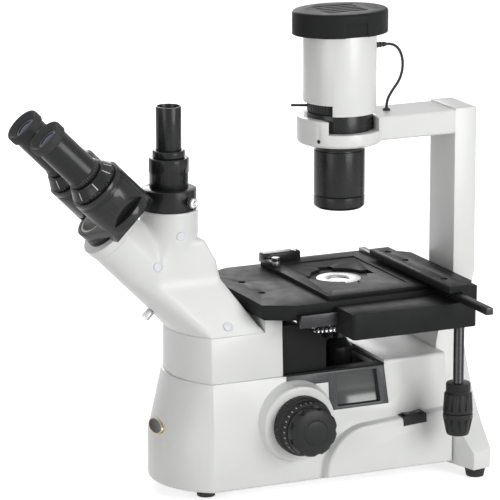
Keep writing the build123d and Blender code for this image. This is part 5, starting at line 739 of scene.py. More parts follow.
@dataclass
class Base:
    """The casting with its covers, bezels, badge, switch and feet."""

    side_x: float = 60.0
    crease_z: float = 53.0
    side_lean: float = math.atan2(6.0, 59.0)
    bezel_edge: float = 0.4
    panel_depth: float = 6.5
    panel_play: float = 0.5
    badge_origin: Point = (0.0, -188.305, 63.6)
    badge_axis: Point = (0.0, -0.96917, 0.24638)
    badge_profile: Profile = ((15.0, -2.0), (15.0, 1.2))
    badge_sides: int = 72
    badge_share: float = 7.0 / 15.0
    badge_rim: float = 0.9
    badge_face_z: float = 1.1
    badge_field_z: float = 0.8
    badge_sink: Point = (0.0, 0.0, -0.5 * MM)
    foot_profile: Profile = (
        (6.0, 0.0), (8.2, 0.0), (8.5, 0.5), (9.2, 4.2), (8.8, 4.7), (8.9, 5.3), (9.5, 5.7),
        (10.7, 9.2), (10.9, 10.0),
    )
    foot_sides: int = 48
    foot_edge: float = 0.2
    foot_places: tuple[Pair, ...] = (
        (79.0, 106.25), (-79.0, 106.25), (30.0, -151.0), (-30.0, -151.0),
    )
    switch_origin: Point = (65.0, 46.0, 63.33)
    switch_lean: float = 3.81
    rocker_edge: float = 0.3
    rocker_slope: float = 7.55
    rocker_rise: float = 1.96
    mark_reach: float = 5.2
    bar_corners: tuple[Point, Point] = ((-0.25, -1.4, 0.0), (0.25, 1.4, 0.12))
    off_profile: Profile = ((1.05, 0.0), (1.5, 0.0), (1.5, 0.12), (1.05, 0.12))
    off_sides: int = 24

    def build(self) -> None:
        """Build every piece of the base."""
        dress(
            ("base_shell", "base_casting", "stand", "white_enamel", WHITE_ENAMEL, 1.1),
            ("front_column", "column_casting", "stand", "white_enamel", WHITE_ENAMEL, 0.8),
            ("deck_plate", "deck_frame", "stand", "black_enamel", BLACK_STAGE, 0.3),
            ("focus_cover", "focus_shroud", "stand", "black_enamel", BLACK_STAGE, 0.7),
        )
        self._bezels()
        self._badge()
        self._switch()
        self._feet()
        for node, finish in (("base_plate", GROUND_STEEL), ("power_board", BOARD_GREEN),
                             ("focus_guide", GROUND_STEEL), ("tube_lens", CLEAR_GLASS),
                             ("coarse_slide", GROUND_STEEL)):
            keep_node(node, finish)

    def _depth(self, centre: Vector) -> float:
        """Measure how far a point lies outside the sloping side nearest to it.

        Args:
            centre: the point in millimetres.

        Returns:
            The distance, less than 0 inside.
        """
        side = math.copysign(1.0, centre.x)
        normal = Vector((side * math.cos(self.side_lean), 0.0, math.sin(self.side_lean)))
        return (centre - Vector((side * self.side_x, 0.0, self.crease_z))).dot(normal)

    def _bezels(self) -> None:
        """Dress the side bezels, with a darker, glossier panel in each window."""
        bezels = from_node("side_frames", "side_bezels", self.bezel_edge)
        paint(bezels, BEZEL_PLASTIC)
        paint(bezels, WINDOW_PANEL, lambda centre, normal:
              abs(self._depth(centre) + self.panel_depth) < self.panel_play)
        hand_over(bezels, "stand", "dark_plastic", "side_bezels")

    def _badge(self) -> None:
        """Make the bare oval badge: a dark field inside a raised bright rim."""
        badge = turned("bare_badge", self.badge_profile, self.badge_sides)
        with editing(badge):
            bpy.ops.mesh.select_all(action="SELECT")
            bpy.ops.transform.resize(value=(1, self.badge_share, 1), center_override=(0, 0, 0))
            pick_faces(badge, lambda centre, normal: centre.z > self.badge_face_z)
            bpy.ops.mesh.inset(thickness=self.badge_rim * MM)
            bpy.ops.mesh.extrude_region_move(TRANSFORM_OT_translate={"value": self.badge_sink})
        paint(badge, BADGE_RIM)
        paint(badge, BLACK_GLOSS, lambda centre, normal:
              centre.z < self.badge_field_z and normal.z > FACING)
        round_edges(badge, EDGE)
        place(badge, self.badge_origin, self.badge_axis)
        hand_over(badge, "stand", "badge", "badge_plate")

    def _switch(self) -> None:
        """Dress the mains switch, and set a bar and a ring on its rocker."""
        dress(("switch_frame", "switch_surround", "stand", "black_plastic", BLACK_PLASTIC, 0.3))
        rocker = from_node("switch_rocker", "power_rocker", self.rocker_edge)
        paint(rocker, BLACK_GLOSS)
        bar = block("on_bar", *self.bar_corners)
        ring = turned("off_ring", self.off_profile, self.off_sides, ring=True)
        x, y, z = self.switch_origin
        for mark, side in ((bar, -1.0), (ring, 1.0)):
            slope = math.radians(self.switch_lean + side * self.rocker_slope)
            reach = side * self.mark_reach
            lift = self.rocker_rise + reach * math.sin(math.radians(self.switch_lean))
            paint(mark, MARK_WHITE)
            place(mark, (x, y + reach, z + lift), (0.0, -math.sin(slope), math.cos(slope)))
        hand_over(joined("switch_rocker_marked", [rocker, bar, ring]), "rocker", "black_plastic",
                  "power_rocker")

    def _feet(self) -> None:
        """Turn one ribbed rubber foot and copy it to the four corners."""
        pattern = turned("foot_pattern", self.foot_profile, self.foot_sides, self.foot_edge)
        feet = [twin(pattern, f"foot_{number}") for number in range(len(self.foot_places))]
        for foot, (x, y) in zip(feet, self.foot_places):
            place(foot, (x, y, 0.0))
        bpy.data.objects.remove(pattern)
        foot_set = joined("rubber_foot_set", feet)
        paint(foot_set, RUBBER)
        hand_over(foot_set, "stand", "rubber", "rubber_feet")


@dataclass
class FocusDrive:
    """The coarse knobs with their serrated rims and the fine knobs with finger flutes."""

    axis_y: float = -72.0
    axis_z: float = 69.0
    coarse_sides: int = 240
    coarse_profile: Profile = (
        (9.0, 68.3), (26.6, 68.3), (27.4, 68.7), (28.0, 69.6), (28.0, 78.2), (27.3, 79.0),
        (26.0, 79.5), (25.4, 80.2), (25.2, 84.4), (25.0, 87.0), (24.2, 87.9), (23.6, 88.3),
        (9.0, 88.3),
    )
    serration_depth: float = 0.55
    serrations: Band = Band(69.6, 78.2, 240, 5, 2, 27.9)
    scale_ticks: Band = Band(84.4, 87.0, 240, 8, 1, 24.5)
    fine_sides: int = 180
    fine_edge: float = 0.25
    fine_profile: Profile = (
        (22.6, 88.6), (23.4, 89.3), (23.5, 90.6), (23.5, 96.6), (23.2, 97.8), (22.4, 98.8),
        (21.0, 99.6), (17.0, 100.7), (12.6, 101.5), (12.2, 101.1), (11.6, 101.1), (11.2, 101.7),
        (7.0, 102.3), (3.0, 102.58),
    )
    flutes: int = 9
    flute_sides: int = 24
    flute_reach: float = 25.6
    flute_profile: Profile = ((4.2, 93.0), (4.83, 106.0))

    def build(self) -> None:
        """Build both pairs of knobs."""
        hand_over(self._pair("coarse_focus_knobs", self._coarse()), "coarse_shaft",
                  "black_plastic", "coarse_knobs")
        hand_over(self._pair("fine_focus_knobs", self._fine()), "fine_shaft", "black_plastic",
                  "fine_knobs")

    def _coarse(self) -> Piece:
        """Turn one coarse knob, serrate its rim and mark its scale."""
        knob = turned("coarse_pattern", self.coarse_profile, self.coarse_sides, EDGE, 1, ring=True)
        groove(knob, self.serration_depth, self.serrations)
        paint(knob, BLACK_PLASTIC)
        paint(knob, MARK_WHITE, self.scale_ticks)
        return knob

    def _fine(self) -> Piece:
        """Turn one fine knob and cut its finger flutes."""
        knob = turned("fine_pattern", self.fine_profile, self.fine_sides)
        cutters = []
        for number in range(self.flutes):
            x, y, z = outward(math.tau * number / self.flutes)
            cutters.append(turned(f"flute_{number}", self.flute_profile, self.flute_sides))
            place(cutters[-1], (self.flute_reach * x, self.flute_reach * y, z))
        cut(knob, joined("flutes", cutters))
        round_edges(knob, self.fine_edge)
        paint(knob, BLACK_PLASTIC)
        return knob

    def _pair(self, name: str, pattern: Piece) -> Piece:
        """Place a knob on the near side and its copy on the far side.

        Args:
            name: the name of the pair.
            pattern: the knob, as it was turned.

        Returns:
            The pair as one piece.
        """
        other = twin(pattern, f"{name}_far")
        origin = (0.0, self.axis_y, self.axis_z)
        place(pattern, origin, (1, 0, 0), (0, 1, 0))
        place(other, origin, (-1, 0, 0), (0, 1, 0))
        return joined(name, [pattern, other])


@dataclass
class Nosepiece:
    """The leaning turret with its four objectives and the arm under it."""

    tilt: float = math.radians(15.0)
    seat_z: float = 141.5
    seat_circle: float = 21.0
    lengths: tuple[float, ...] = (32.5, 27.0, 31.0, 29.0)
    turret_profile: Profile = (
        (6.05, -8.0), (29.6, -8.0), (30.6, -7.6), (31.0, -7.0), (31.0, -3.5), (30.6, -2.9),
        (30.0, -2.45), (12.5, 2.2), (11.0, 2.65), (6.05, 2.65),
    )
    turret_sides: int = 144
    turret_depth: float = 0.5
    turret_knurl: Band = Band(-7.0, -3.5, 144, 3, 1, 30.8)
    foot_profile: Profile = (
        (8.0, 0.0), (8.0, 3.4), (8.6, 4.0), (9.9, 5.6), (9.9, 9.8), (9.4, 10.1), (9.4, 10.7),
        (9.9, 11.0),
    )
    middle_profile: Profile = (
        (9.9, -1.4), (9.5, -1.0), (8.1, 1.6), (7.9, 2.2), (7.9, 3.4), (7.6, 3.6), (7.6, 4.2),
        (7.9, 4.4),
    )
    nose_profile: Profile = (
        (7.9, -6.4), (7.5, -5.6), (4.2, -1.0), (3.6, -0.6), (2.6, -0.4), (2.4, -0.7),
    )
    barrel_sides: int = 72
    barrel_depth: float = 0.3
    barrel_knurl: Band = Band(5.7, 9.7, 72, 2, 1, 9.6)
    grip: Pair = (5.0, 10.2)
    colour_band: Pair = (3.4, 4.6)
    lens_drop: float = 0.8
    lens_radius: float = 1.0

    def __post_init__(self) -> None:
        """Work out the turret's centre and its directions."""
        self.centre = Vector((-self.seat_circle * math.cos(self.tilt), 0.0,
                              self.seat_z - self.seat_circle * math.sin(self.tilt)))
        self.axis = Vector((-math.sin(self.tilt), 0.0, math.cos(self.tilt)))
        self.across = Vector((math.cos(self.tilt), 0.0, math.sin(self.tilt)))

    def build(self) -> None:
        """Build the arm, the turret and the objectives."""
        dress(("nosepiece_arm", "nosepiece_casting", "nosepiece", "black_enamel", BLACK_SATIN,
               0.4))
        turret = turned("turret_disc", self.turret_profile, self.turret_sides, SMALL_EDGE, 1,
                        ring=True)
        groove(turret, self.turret_depth, self.turret_knurl)
        paint(turret, CHROME)
        place(turret, tuple(self.centre), self.axis, self.across)
        hand_over(turret, "revolver", "chrome", "turret")
        barrels = [self._objective(number) for number in range(len(self.lengths))]
        hand_over(joined("objective_set", barrels), "revolver", "chrome", "objectives")

    def _objective(self, number: int) -> Piece:
        """Turn one objective with its knurled foot, colour band and front lens.

        Args:
            number: which objective, from the upright one round.

        Returns:
            The objective, in its seat.
        """
        length = self.lengths[number]
        middle = length / 2
        low, high = (middle + edge for edge in self.colour_band)
        barrel = turned(f"objective_{number}", (
            *self.foot_profile,
            *((radius, middle + rise) for radius, rise in self.middle_profile),
            *((radius, length + rise) for radius, rise in self.nose_profile),
        ), self.barrel_sides, SMALL_EDGE)
        groove(barrel, self.barrel_depth, self.barrel_knurl)
        paint(barrel, CHROME)
        paint(barrel, BLACK_SATIN, lambda centre, normal: self.grip[0] < centre.z < self.grip[1])
        paint(barrel, BAND_COLOURS[number], lambda centre, normal: low < centre.z < high)
        paint(barrel, COATED_GLASS, lambda centre, normal:
              centre.z > length - self.lens_drop and centre.xy.length < self.lens_radius)
        turn = math.tau * number / len(self.lengths)
        sideways = self.axis.cross(self.across)
        radial = self.across * math.cos(turn) + sideways * math.sin(turn)
        lean = self.axis * math.cos(self.tilt) + radial * math.sin(self.tilt)
        place(barrel, tuple(self.centre + radial * self.seat_circle), lean, radial)
        return barrel


@dataclass
class Stage:
    """The black stage with its ring, carriage, bar, sliding rail, plate, clamp and drive."""

    ring_profile: Profile = (
        (10.4, 183.0), (21.2, 183.0), (21.2, 185.7), (20.9, 186.0), (11.9, 186.0), (10.4, 185.0),
    )
    ring_sides: int = 128
    tick_numbers: range = range(-30, 61, 2)
    tick_long: int = 10
    tick_half: float = 0.14
    tick_front: float = 53.4
    tick_backs: Pair = (55.4, 57.2)
    tick_heights: Pair = (199.96, 200.03)
    pin_place: Point = (-50.0, -42.0, 190.2)
    pin_profile: Profile = (
        (3.6, 0.2), (4.05, 0.6), (4.05, 4.8), (3.5, 5.2), (3.5, 6.6), (4.0, 7.0), (4.0, 8.1),
        (3.4, 8.6),
    )
    pivot_place: Point = (-70.0, -14.0, 198.6)
    pivot_profile: Profile = ((4.0, -0.3), (4.0, 1.3), (3.4, 1.9))
    pivot_slot: tuple[Point, Point] = ((-5.0, -0.5, 1.1), (5.0, 0.5, 3.0))
    clamp_sides: int = 40
    drive_place: Point = (109.0, 71.0, 0.0)
    knob_sides: int = 120
    knob_edge: float = 0.2
    upper_profile: Profile = (
        (3.1, 74.5), (13.2, 74.5), (14.0, 75.2), (13.9, 78.0), (13.0, 92.8), (12.3, 93.6),
        (11.2, 94.2), (11.2, 95.0), (11.5, 95.4), (11.5, 102.2), (10.9, 103.0), (5.0, 103.0),
        (5.0, 180.0), (3.1, 180.0),
    )
    lower_profile: Profile = (
        (8.8, 53.0), (10.0, 53.3), (10.6, 54.2), (11.6, 58.0), (13.9, 69.5), (14.0, 73.2),
        (13.4, 74.2), (3.0, 74.2), (3.0, 193.0),
    )
    flute_depth: float = 1.0
    upper_flutes: Band = Band(78.0, 92.8, 120, 10, 4, 12.6)
    lower_flutes: Band = Band(58.0, 69.5, 120, 10, 4, 11.0)
    knurl_depth: float = 0.35
    knurl: Band = Band(95.4, 102.2, 120, 3, 1, 11.3)
    shaft_z: float = 103.2

    def build(self) -> None:
        """Build the stage from the plate outwards."""
        dress(
            ("fixed_stage", "stage_table", "stand", "black_enamel", BLACK_STAGE, 0.6),
            ("y_carriage", "carriage_block", "stage_y", "black_enamel", BLACK_STAGE, 0.6),
            ("guide_bar", "cross_bar", "stage_y", "black_enamel", BLACK_STAGE, 0.5),
            ("x_slide", "sliding_rail", "stage_x", "steel", DARK_STEEL, 0.25),
            ("specimen_plate", "specimen_carrier", "stage_x", "black_enamel", BLACK_STAGE, 0.35),
            ("specimen_clamp", "specimen_finger", "clamp", "black_enamel", BLACK_SATIN, 0.5),
            ("stage_guide", "carriage_track", "stand", "steel", DARK_STEEL, 0.2),
        )
        ring = turned("stage_ring", self.ring_profile, self.ring_sides, EDGE, ring=True)
        paint(ring, TURNED_RING)
        hand_over(ring, "stand", "aluminium", "stage_insert")
        self._bar_scale()
        self._clamp_details()
        self._drive()

    def _bar_scale(self) -> None:
        """Lay the scale along the front edge of the bar."""
        low_z, high_z = self.tick_heights
        ticks = []
        for number in self.tick_numbers:
            back = self.tick_backs[number % self.tick_long == 0]
            ticks.append(block(f"tick_{number}", (number - self.tick_half, self.tick_front, low_z),
                               (number + self.tick_half, back, high_z)))
        scale = joined("bar_scale", ticks)
        paint(scale, MARK_WHITE)
        hand_over(scale, "stage_y", "black_enamel")

    def _clamp_details(self) -> None:
        """Turn the clamp's pin and the head of its pivot screw."""
        pin = turned("finger_pin", self.pin_profile, self.clamp_sides, EDGE)
        head = turned("pivot_head", self.pivot_profile, self.clamp_sides)
        cut(head, block("pivot_slot", *self.pivot_slot))
        round_edges(head, EDGE)
        for piece, origin, finish in ((pin, self.pin_place, GROUND_STEEL),
                                      (head, self.pivot_place, CHROME)):
            place(piece, origin)
            paint(piece, finish)
            hand_over(piece, "clamp", "steel")

    def _drive(self) -> None:
        """Turn the coaxial drive: the upper knob on its tube and the lower knob on its rod."""
        upper = turned("upper_stage_knob", self.upper_profile, self.knob_sides, self.knob_edge,
                       ring=True)
        groove(upper, self.flute_depth, self.upper_flutes)
        groove(upper, self.knurl_depth, self.knurl)
        lower = turned("lower_stage_knob", self.lower_profile, self.knob_sides, self.knob_edge)
        groove(lower, self.flute_depth, self.lower_flutes)
        for knob, body, node in ((upper, "y_knob", "y_drive_knob"),
                                 (lower, "x_knob", "x_drive_knob")):
            place(knob, self.drive_place)
            paint(knob, BLACK_PLASTIC)
            paint(knob, DARK_STEEL, lambda centre, normal: centre.z > self.shaft_z)
            hand_over(knob, body, "black_plastic", node)


@dataclass
class Lamp:
    """The lamp pillar, its arm and housing, the condenser below and the lamp cord."""

    iris_profile: Profile = (
        (27.35, 347.4), (30.2, 347.4), (30.55, 347.9), (30.55, 356.1), (30.2, 356.6),
        (27.35, 356.6),
    )
    iris_sides: int = 180
    iris_depth: float = 0.3
    iris_knurl: Band = Band(347.9, 356.1, 180, 3, 1, 30.4)
    lever_angle: float = math.radians(-115.0)
    lever_z: float = 351.7
    lever_edge: float = 0.08
    lever_sides: int = 32
    lever_profile: Profile = (
        (1.25, 29.0), (1.25, 40.3), (1.0, 40.6), (1.3, 41.1), (1.3, 45.0), (0.8, 45.45),
    )
    tube_profile: Profile = (
        (21.05, 268.0), (23.6, 268.0), (24.0, 268.5), (24.0, 310.0), (23.9, 310.4),
        (22.9, 310.7), (22.9, 312.8), (23.9, 313.1), (24.0, 313.5), (24.0, 356.8), (21.05, 356.8),
    )
    tube_sides: int = 128
    boot_root: Point = (0.0, 34.3, 406.0)
    boot_foot: Profile = ((2.9, -1.0), (3.0, 0.6), (3.0, 2.0))
    boot_rib: Profile = ((-0.6, -0.4), (-0.6, 0.2), (0.0, 0.6), (0.0, 2.0))
    boot_ribs: Profile = ((2.9, 3.0), (2.65, 6.2), (2.4, 9.4))
    boot_tip: Profile = ((1.9, 12.6), (1.9, 13.4), (1.45, 13.7))
    boot_sides: int = 40
    grommet_place: Point = (0.0, 49.0, 342.8)
    grommet_profile: Profile = ((3.6, -0.4), (3.6, 0.9), (3.1, 1.5), (2.2, 2.2), (1.5, 2.2))
    cord_diameter: float = 2.6
    cord_length: float = 75.9
    cord_steps: int = 16
    cord_sides: int = 6
    cord_order: int = 3
    route: tuple[Point, ...] = (
        (0.0, 48.0, 406.0), (0.0, 54.5, 406.0), (0.0, 61.8, 400.5), (0.0, 65.5, 391.5),
        (0.0, 65.8, 381.0), (0.0, 62.5, 370.5), (0.0, 55.0, 361.5), (0.0, 49.0, 352.0),
        (0.0, 49.0, 345.0),
    )

    def build(self) -> None:
        """Build the lamp from the pillar upwards, then the condenser and the cord."""
        dress(
            ("lamp_pillar", "pillar_casting", "stand", "white_enamel", WHITE_ENAMEL, 1.0),
            ("lamp_arm", "arm_casting", "stand", "white_enamel", WHITE_ENAMEL, 1.0),
            ("lamp_housing", "lamp_shell", "stand", "white_enamel", WHITE_ENAMEL, 0.7),
            ("lamp_collar", "lamp_mount", "stand", "black_enamel", BLACK_SATIN, 0.5),
            ("power_inlet", "inlet_socket", "stand", "black_plastic", BLACK_PLASTIC, 0.5),
            ("lamp_cap", "lamp_top", "stand", "black_enamel", BLACK_STAGE, 0.8),
        )
        keep_node("lamp_module", CERAMIC)
        self._lever()
        tube = turned("condenser_barrel", self.tube_profile, self.tube_sides, EDGE, ring=True)
        paint(tube, BLACK_SATIN)
        hand_over(tube, "stand", "black_enamel", "condenser_tube")
        dress(("condenser_ring", "condenser_mount", "stand", "black_enamel", BLACK_SATIN, 0.3))
        keep_node("condenser_lenses", COATED_GLASS)
        self._cord()

    def _lever(self) -> None:
        """Turn the iris ring with its pointer lever."""
        ring = turned("iris_band", self.iris_profile, self.iris_sides, SMALL_EDGE, 1, ring=True)
        groove(ring, self.iris_depth, self.iris_knurl)
        stem = turned("lever_stem", self.lever_profile, self.lever_sides, self.lever_edge)
        place(stem, (0.0, 0.0, self.lever_z), outward(self.lever_angle))
        paint(ring, BLACK_PLASTIC)
        paint(stem, BLACK_SATIN)
        hand_over(joined("iris_control", [ring, stem]), "iris", "black_enamel", "aperture_lever")

    def _boots(self) -> Piece:
        """Fit the ribbed boot and the grommet of the cord, and return them as one piece."""
        ribs = ((radius + inset, z + rise) for radius, z in self.boot_ribs
                for inset, rise in self.boot_rib)
        boot = turned("lead_boot", (*self.boot_foot, *ribs, *self.boot_tip), self.boot_sides,
                      SMALL_EDGE)
        place(boot, self.boot_root, (0, 1, 0))
        grommet = turned("lead_grommet", self.grommet_profile, self.boot_sides, SMALL_EDGE)
        place(grommet, self.grommet_place)
        boots = joined("lead_boots", [boot, grommet])
        paint(boots, RUBBER)
        return hand_over(boots, "stand", "rubber", "cord_boots")

    def _cord(self) -> None:
        """Lay the lamp cord along its route, between its boot and its grommet."""
        curve = bpy.data.curves.new("lamp_lead", "CURVE")
        curve.dimensions = "3D"
        curve.bevel_depth = self.cord_diameter * MM / 2
        curve.bevel_resolution = self.cord_sides
        curve.resolution_u = self.cord_steps
        curve.use_fill_caps = True
        spline = curve.splines.new("NURBS")
        spline.points.add(len(self.route) - 1)
        for point, (x, y, z) in zip(spline.points, self.route):
            point.co = (x * MM, y * MM, z * MM, 1.0)
        spline.order_u = self.cord_order
        spline.use_endpoint_u = True
        lead = bpy.data.objects.new("lamp_lead", curve)
        bpy.context.collection.objects.link(lead)
        lead.data.materials.append(RUBBER.material())
        boots = self._boots()
        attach(lead, "stand")
        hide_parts("lamp_cord")


@dataclass
class Head:
    """The leaning head with its port, its pale plugs, the relay mirrors and the light-path rod."""

    skin_grid: float = 1.4
    skin_passes: int = 45
    port_y: float = -174.0
    port_top: float = 270.0
    port_radius: float = 27.0
    port_bore: float = 11.6
    tube_root: float = 9.75
    tube_bore: float = 18.0
    rim_start: float = 340.0
    seam_z: float = 155.5
    plug_radius: float = 4.0
    plug_places: tuple[Pair, ...] = ((-174.0, 248.6), (-196.8, 222.3), (-135.9, 164.6))
    bore_margin: float = 1.0
    still_margin: float = 2.0
    flow_reach: float = 5.0
    shoulder_z: float = 244.0
    shoulder_draw: float = 8.0
    shoulder_reach: float = 5.0
    prism_top: float = 222.0
    wall_corners: tuple[Point, Point] = ((-14.0, -138.6, 186.0), (14.0, -120.0, 218.0))
    back_crease: Point = (0.0, -134.0, 205.0)
    back_slopes: tuple[Point, Point] = ((0.0, 39.0, 7.0), (0.0, 49.5, 34.0))
    mirror_edge: float = 0.2
    mirror_corner: tuple[Point, Point] = ((-10.0, -138.8, 188.0), (10.0, -120.0, 214.0))
    clamp_z: float = 280.0
    clamp_angle: float = math.radians(18.0)
    clamp_profile: Profile = (
        (2.0, 24.0), (2.0, 29.3), (3.9, 29.3), (4.5, 29.9), (4.5, 35.2), (4.1, 35.8),
        (2.6, 36.1), (2.2, 35.7),
    )
    clamp_sides: int = 60
    clamp_depth: float = 0.35
    clamp_knurl: Band = Band(29.9, 35.2, 60, 3, 1, 4.4)

    def build(self) -> None:
        """Build the head's housing, its rings, its port and its small parts."""
        housing = softened("head_casting", "head_housing", self.skin_grid, self.skin_passes,
                           self._flow, self._closing_wall())
        self._draw_in_shoulder(housing)
        paint(housing, WHITE_ENAMEL)
        hand_over(housing, "stand", "white_enamel", "head_housing")
        dress(
            ("head_ring", "head_rim", "stand", "white_enamel", WHITE_ENAMEL, 0.35),
            ("port_plugs", "head_plugs", "stand", "white_plastic", WHITE_PLUG, 0.3),
            ("dovetail_ring", "port_ring", "stand", "black_enamel", BLACK_SATIN, 0.5),
            ("photo_collar", "port_collar", "stand", "black_enamel", BLACK_SATIN, 0.4),
            ("photo_tube", "port_tube", "stand", "black_enamel", BLACK_SATIN, 0.25),
        )
        self._clamp()
        mirrors = from_node("relay_mirrors", "fold_mirrors", self.mirror_edge)
        cut(mirrors, block("corner", *self.mirror_corner))
        paint(mirrors, MIRROR)
        hand_over(mirrors, "stand", "mirror", "fold_mirrors")
        dress(("path_rod", "selector_rod", "path", "chrome", CHROME, 0.2))

    def _flow(self, point: Vector) -> float:
        """Say how freely the casting's skin flows at a point: not at its seats, rims and plugs.

        Args:
            point: the point in millimetres.

        Returns:
            From 0 where the skin stays put to 1 where it flows.
        """
        tube = point - Vector((0.0, self.tube_root, self.tube_root))
        along = tube.dot(Vector(EYE_AXIS))
        in_tube = (tube - along * Vector(EYE_AXIS)).length - self.tube_bore
        in_port = (point.xy - Vector((0.0, self.port_y))).length - self.port_bore
        if min(in_tube, in_port) < self.bore_margin:
            return 0.0
        plug = min((point.yz - Vector(spot)).length for spot in self.plug_places)
        room = min(point.z - self.seam_z, self.port_top - point.z, self.rim_start - along,
                   plug - self.plug_radius)
        return max(0.0, min(1.0, (room - self.still_margin) / self.flow_reach))

    def _closing_wall(self) -> Piece:
        """Return the wall behind the relay mirror, flush with both slopes of the back."""
        wall = block("closing_wall", *self.wall_corners)
        for slope in self.back_slopes:
            with editing(wall):
                bpy.ops.mesh.select_all(action="SELECT")
                bpy.ops.mesh.bisect(plane_co=Vector(self.back_crease) * MM, plane_no=slope,
                                    clear_outer=True, use_fill=True)
        return wall

    def _draw_in_shoulder(self, housing: Piece) -> None:
        """Draw the back of the shoulder in behind the port, by more the higher it is.

        Args:
            housing: the head's casting.
        """
        for vertex in housing.data.vertices:
            point = vertex.co / MM
            rise = (point.z - self.prism_top) / (self.shoulder_z - self.prism_top)
            apart = (point.xy - Vector((0.0, self.port_y))).length - self.port_radius
            back = (point.y - self.port_y) / self.port_radius
            share = math.prod(max(0.0, min(1.0, part))
                              for part in (rise, apart / self.shoulder_reach, back))
            vertex.co.y -= self.shoulder_draw * share * MM

    def _clamp(self) -> None:
        """Turn the clamp screw of the photo port and knurl its head."""
        knob = turned("port_clamp_screw", self.clamp_profile, self.clamp_sides, SMALL_EDGE, 1)
        groove(knob, self.clamp_depth, self.clamp_knurl)
        place(knob, (0.0, self.port_y, self.clamp_z), outward(self.clamp_angle))
        paint(knob, CHROME)
        hand_over(knob, "port_clamp", "steel", "clamp_screw")


@dataclass
class Binocular:
    """The two swinging prism boxes with their scale rings and eyepieces."""

    half_gap: float = 27.5
    root: float = 23.888
    ring_profile: Profile = (
        (15.8, 399.3), (23.5, 399.3), (24.0, 399.8), (24.0, 402.9), (23.5, 403.4), (19.6, 410.1),
        (19.0, 411.3), (15.8, 411.3),
    )
    ring_sides: int = 150
    ring_depth: float = 0.4
    ring_knurl: Band = Band(399.8, 402.9, 150, 3, 1, 23.7)
    ring_ticks: Band = Band(403.4, 410.1, 150, 10, 1, 19.0, 5)
    eyepiece_profile: Profile = (
        (11.0, 411.6), (16.2, 411.6), (16.6, 412.0), (16.6, 416.4), (16.2, 416.9),
        (15.6, 417.3), (15.6, 458.4), (15.2, 459.0), (17.0, 459.2), (17.5, 459.9),
        (17.5, 466.4), (17.0, 467.6), (16.0, 468.0), (14.6, 467.2), (12.6, 464.6),
        (10.1, 463.6), (10.1, 463.0),
    )
    eyepiece_sides: int = 120
    eyepiece_edge: float = 0.2
    eyepiece_depth: float = 0.35
    eyepiece_knurl: Band = Band(412.0, 416.4, 120, 3, 1, 16.4)
    cup_z: float = 459.0
    cup_bore: float = 10.4
    lens_z: float = 462.0
    lens_radius: float = 10.0

    def build(self) -> None:
        """Build both sides of the binocular head."""
        for side, word in ((-1.0, "left"), (1.0, "right")):
            dress((f"{word}_prism_box", f"{word}_prism_case", f"{word}_box", "black_enamel",
                   BLACK_GLOSS, 0.9))
            origin = (side * self.half_gap, self.root, self.root)
            self._ring(word, origin)
            self._eyepiece(word, origin)

    def _ring(self, word: str, origin: Point) -> None:
        """Turn one focusing ring, with its knurl and its ticks.

        Args:
            word: left or right.
            origin: the foot of the eyepiece's axis.
        """
        ring = turned(f"{word}_focus_ring", self.ring_profile, self.ring_sides, SMALL_EDGE, 1,
                      ring=True)
        groove(ring, self.ring_depth, self.ring_knurl)
        paint(ring, BLACK_SATIN)
        paint(ring, MARK_WHITE, self.ring_ticks)
        place(ring, origin, EYE_AXIS)
        hand_over(ring, f"{word}_scale", "black_enamel", f"{word}_scale_ring")

    def _eyepiece(self, word: str, origin: Point) -> None:
        """Turn one eyepiece with its knurled foot, its soft cup and its coated lens.

        Args:
            word: left or right.
            origin: the foot of the eyepiece's axis.
        """
        body = turned(f"{word}_ocular", self.eyepiece_profile, self.eyepiece_sides,
                      self.eyepiece_edge)
        groove(body, self.eyepiece_depth, self.eyepiece_knurl)
        paint(body, BLACK_SATIN)
        paint(body, RUBBER, lambda centre, normal:
              centre.z > self.cup_z and centre.xy.length > self.cup_bore)
        paint(body, COATED_GLASS, lambda centre, normal:
              centre.z > self.lens_z and centre.xy.length < self.lens_radius)
        place(body, origin, EYE_AXIS)
        hand_over(body, f"{word}_box", "black_enamel", f"{word}_eyepiece")
        keep_node(f"{word}_eye_lens", COATED_GLASS)


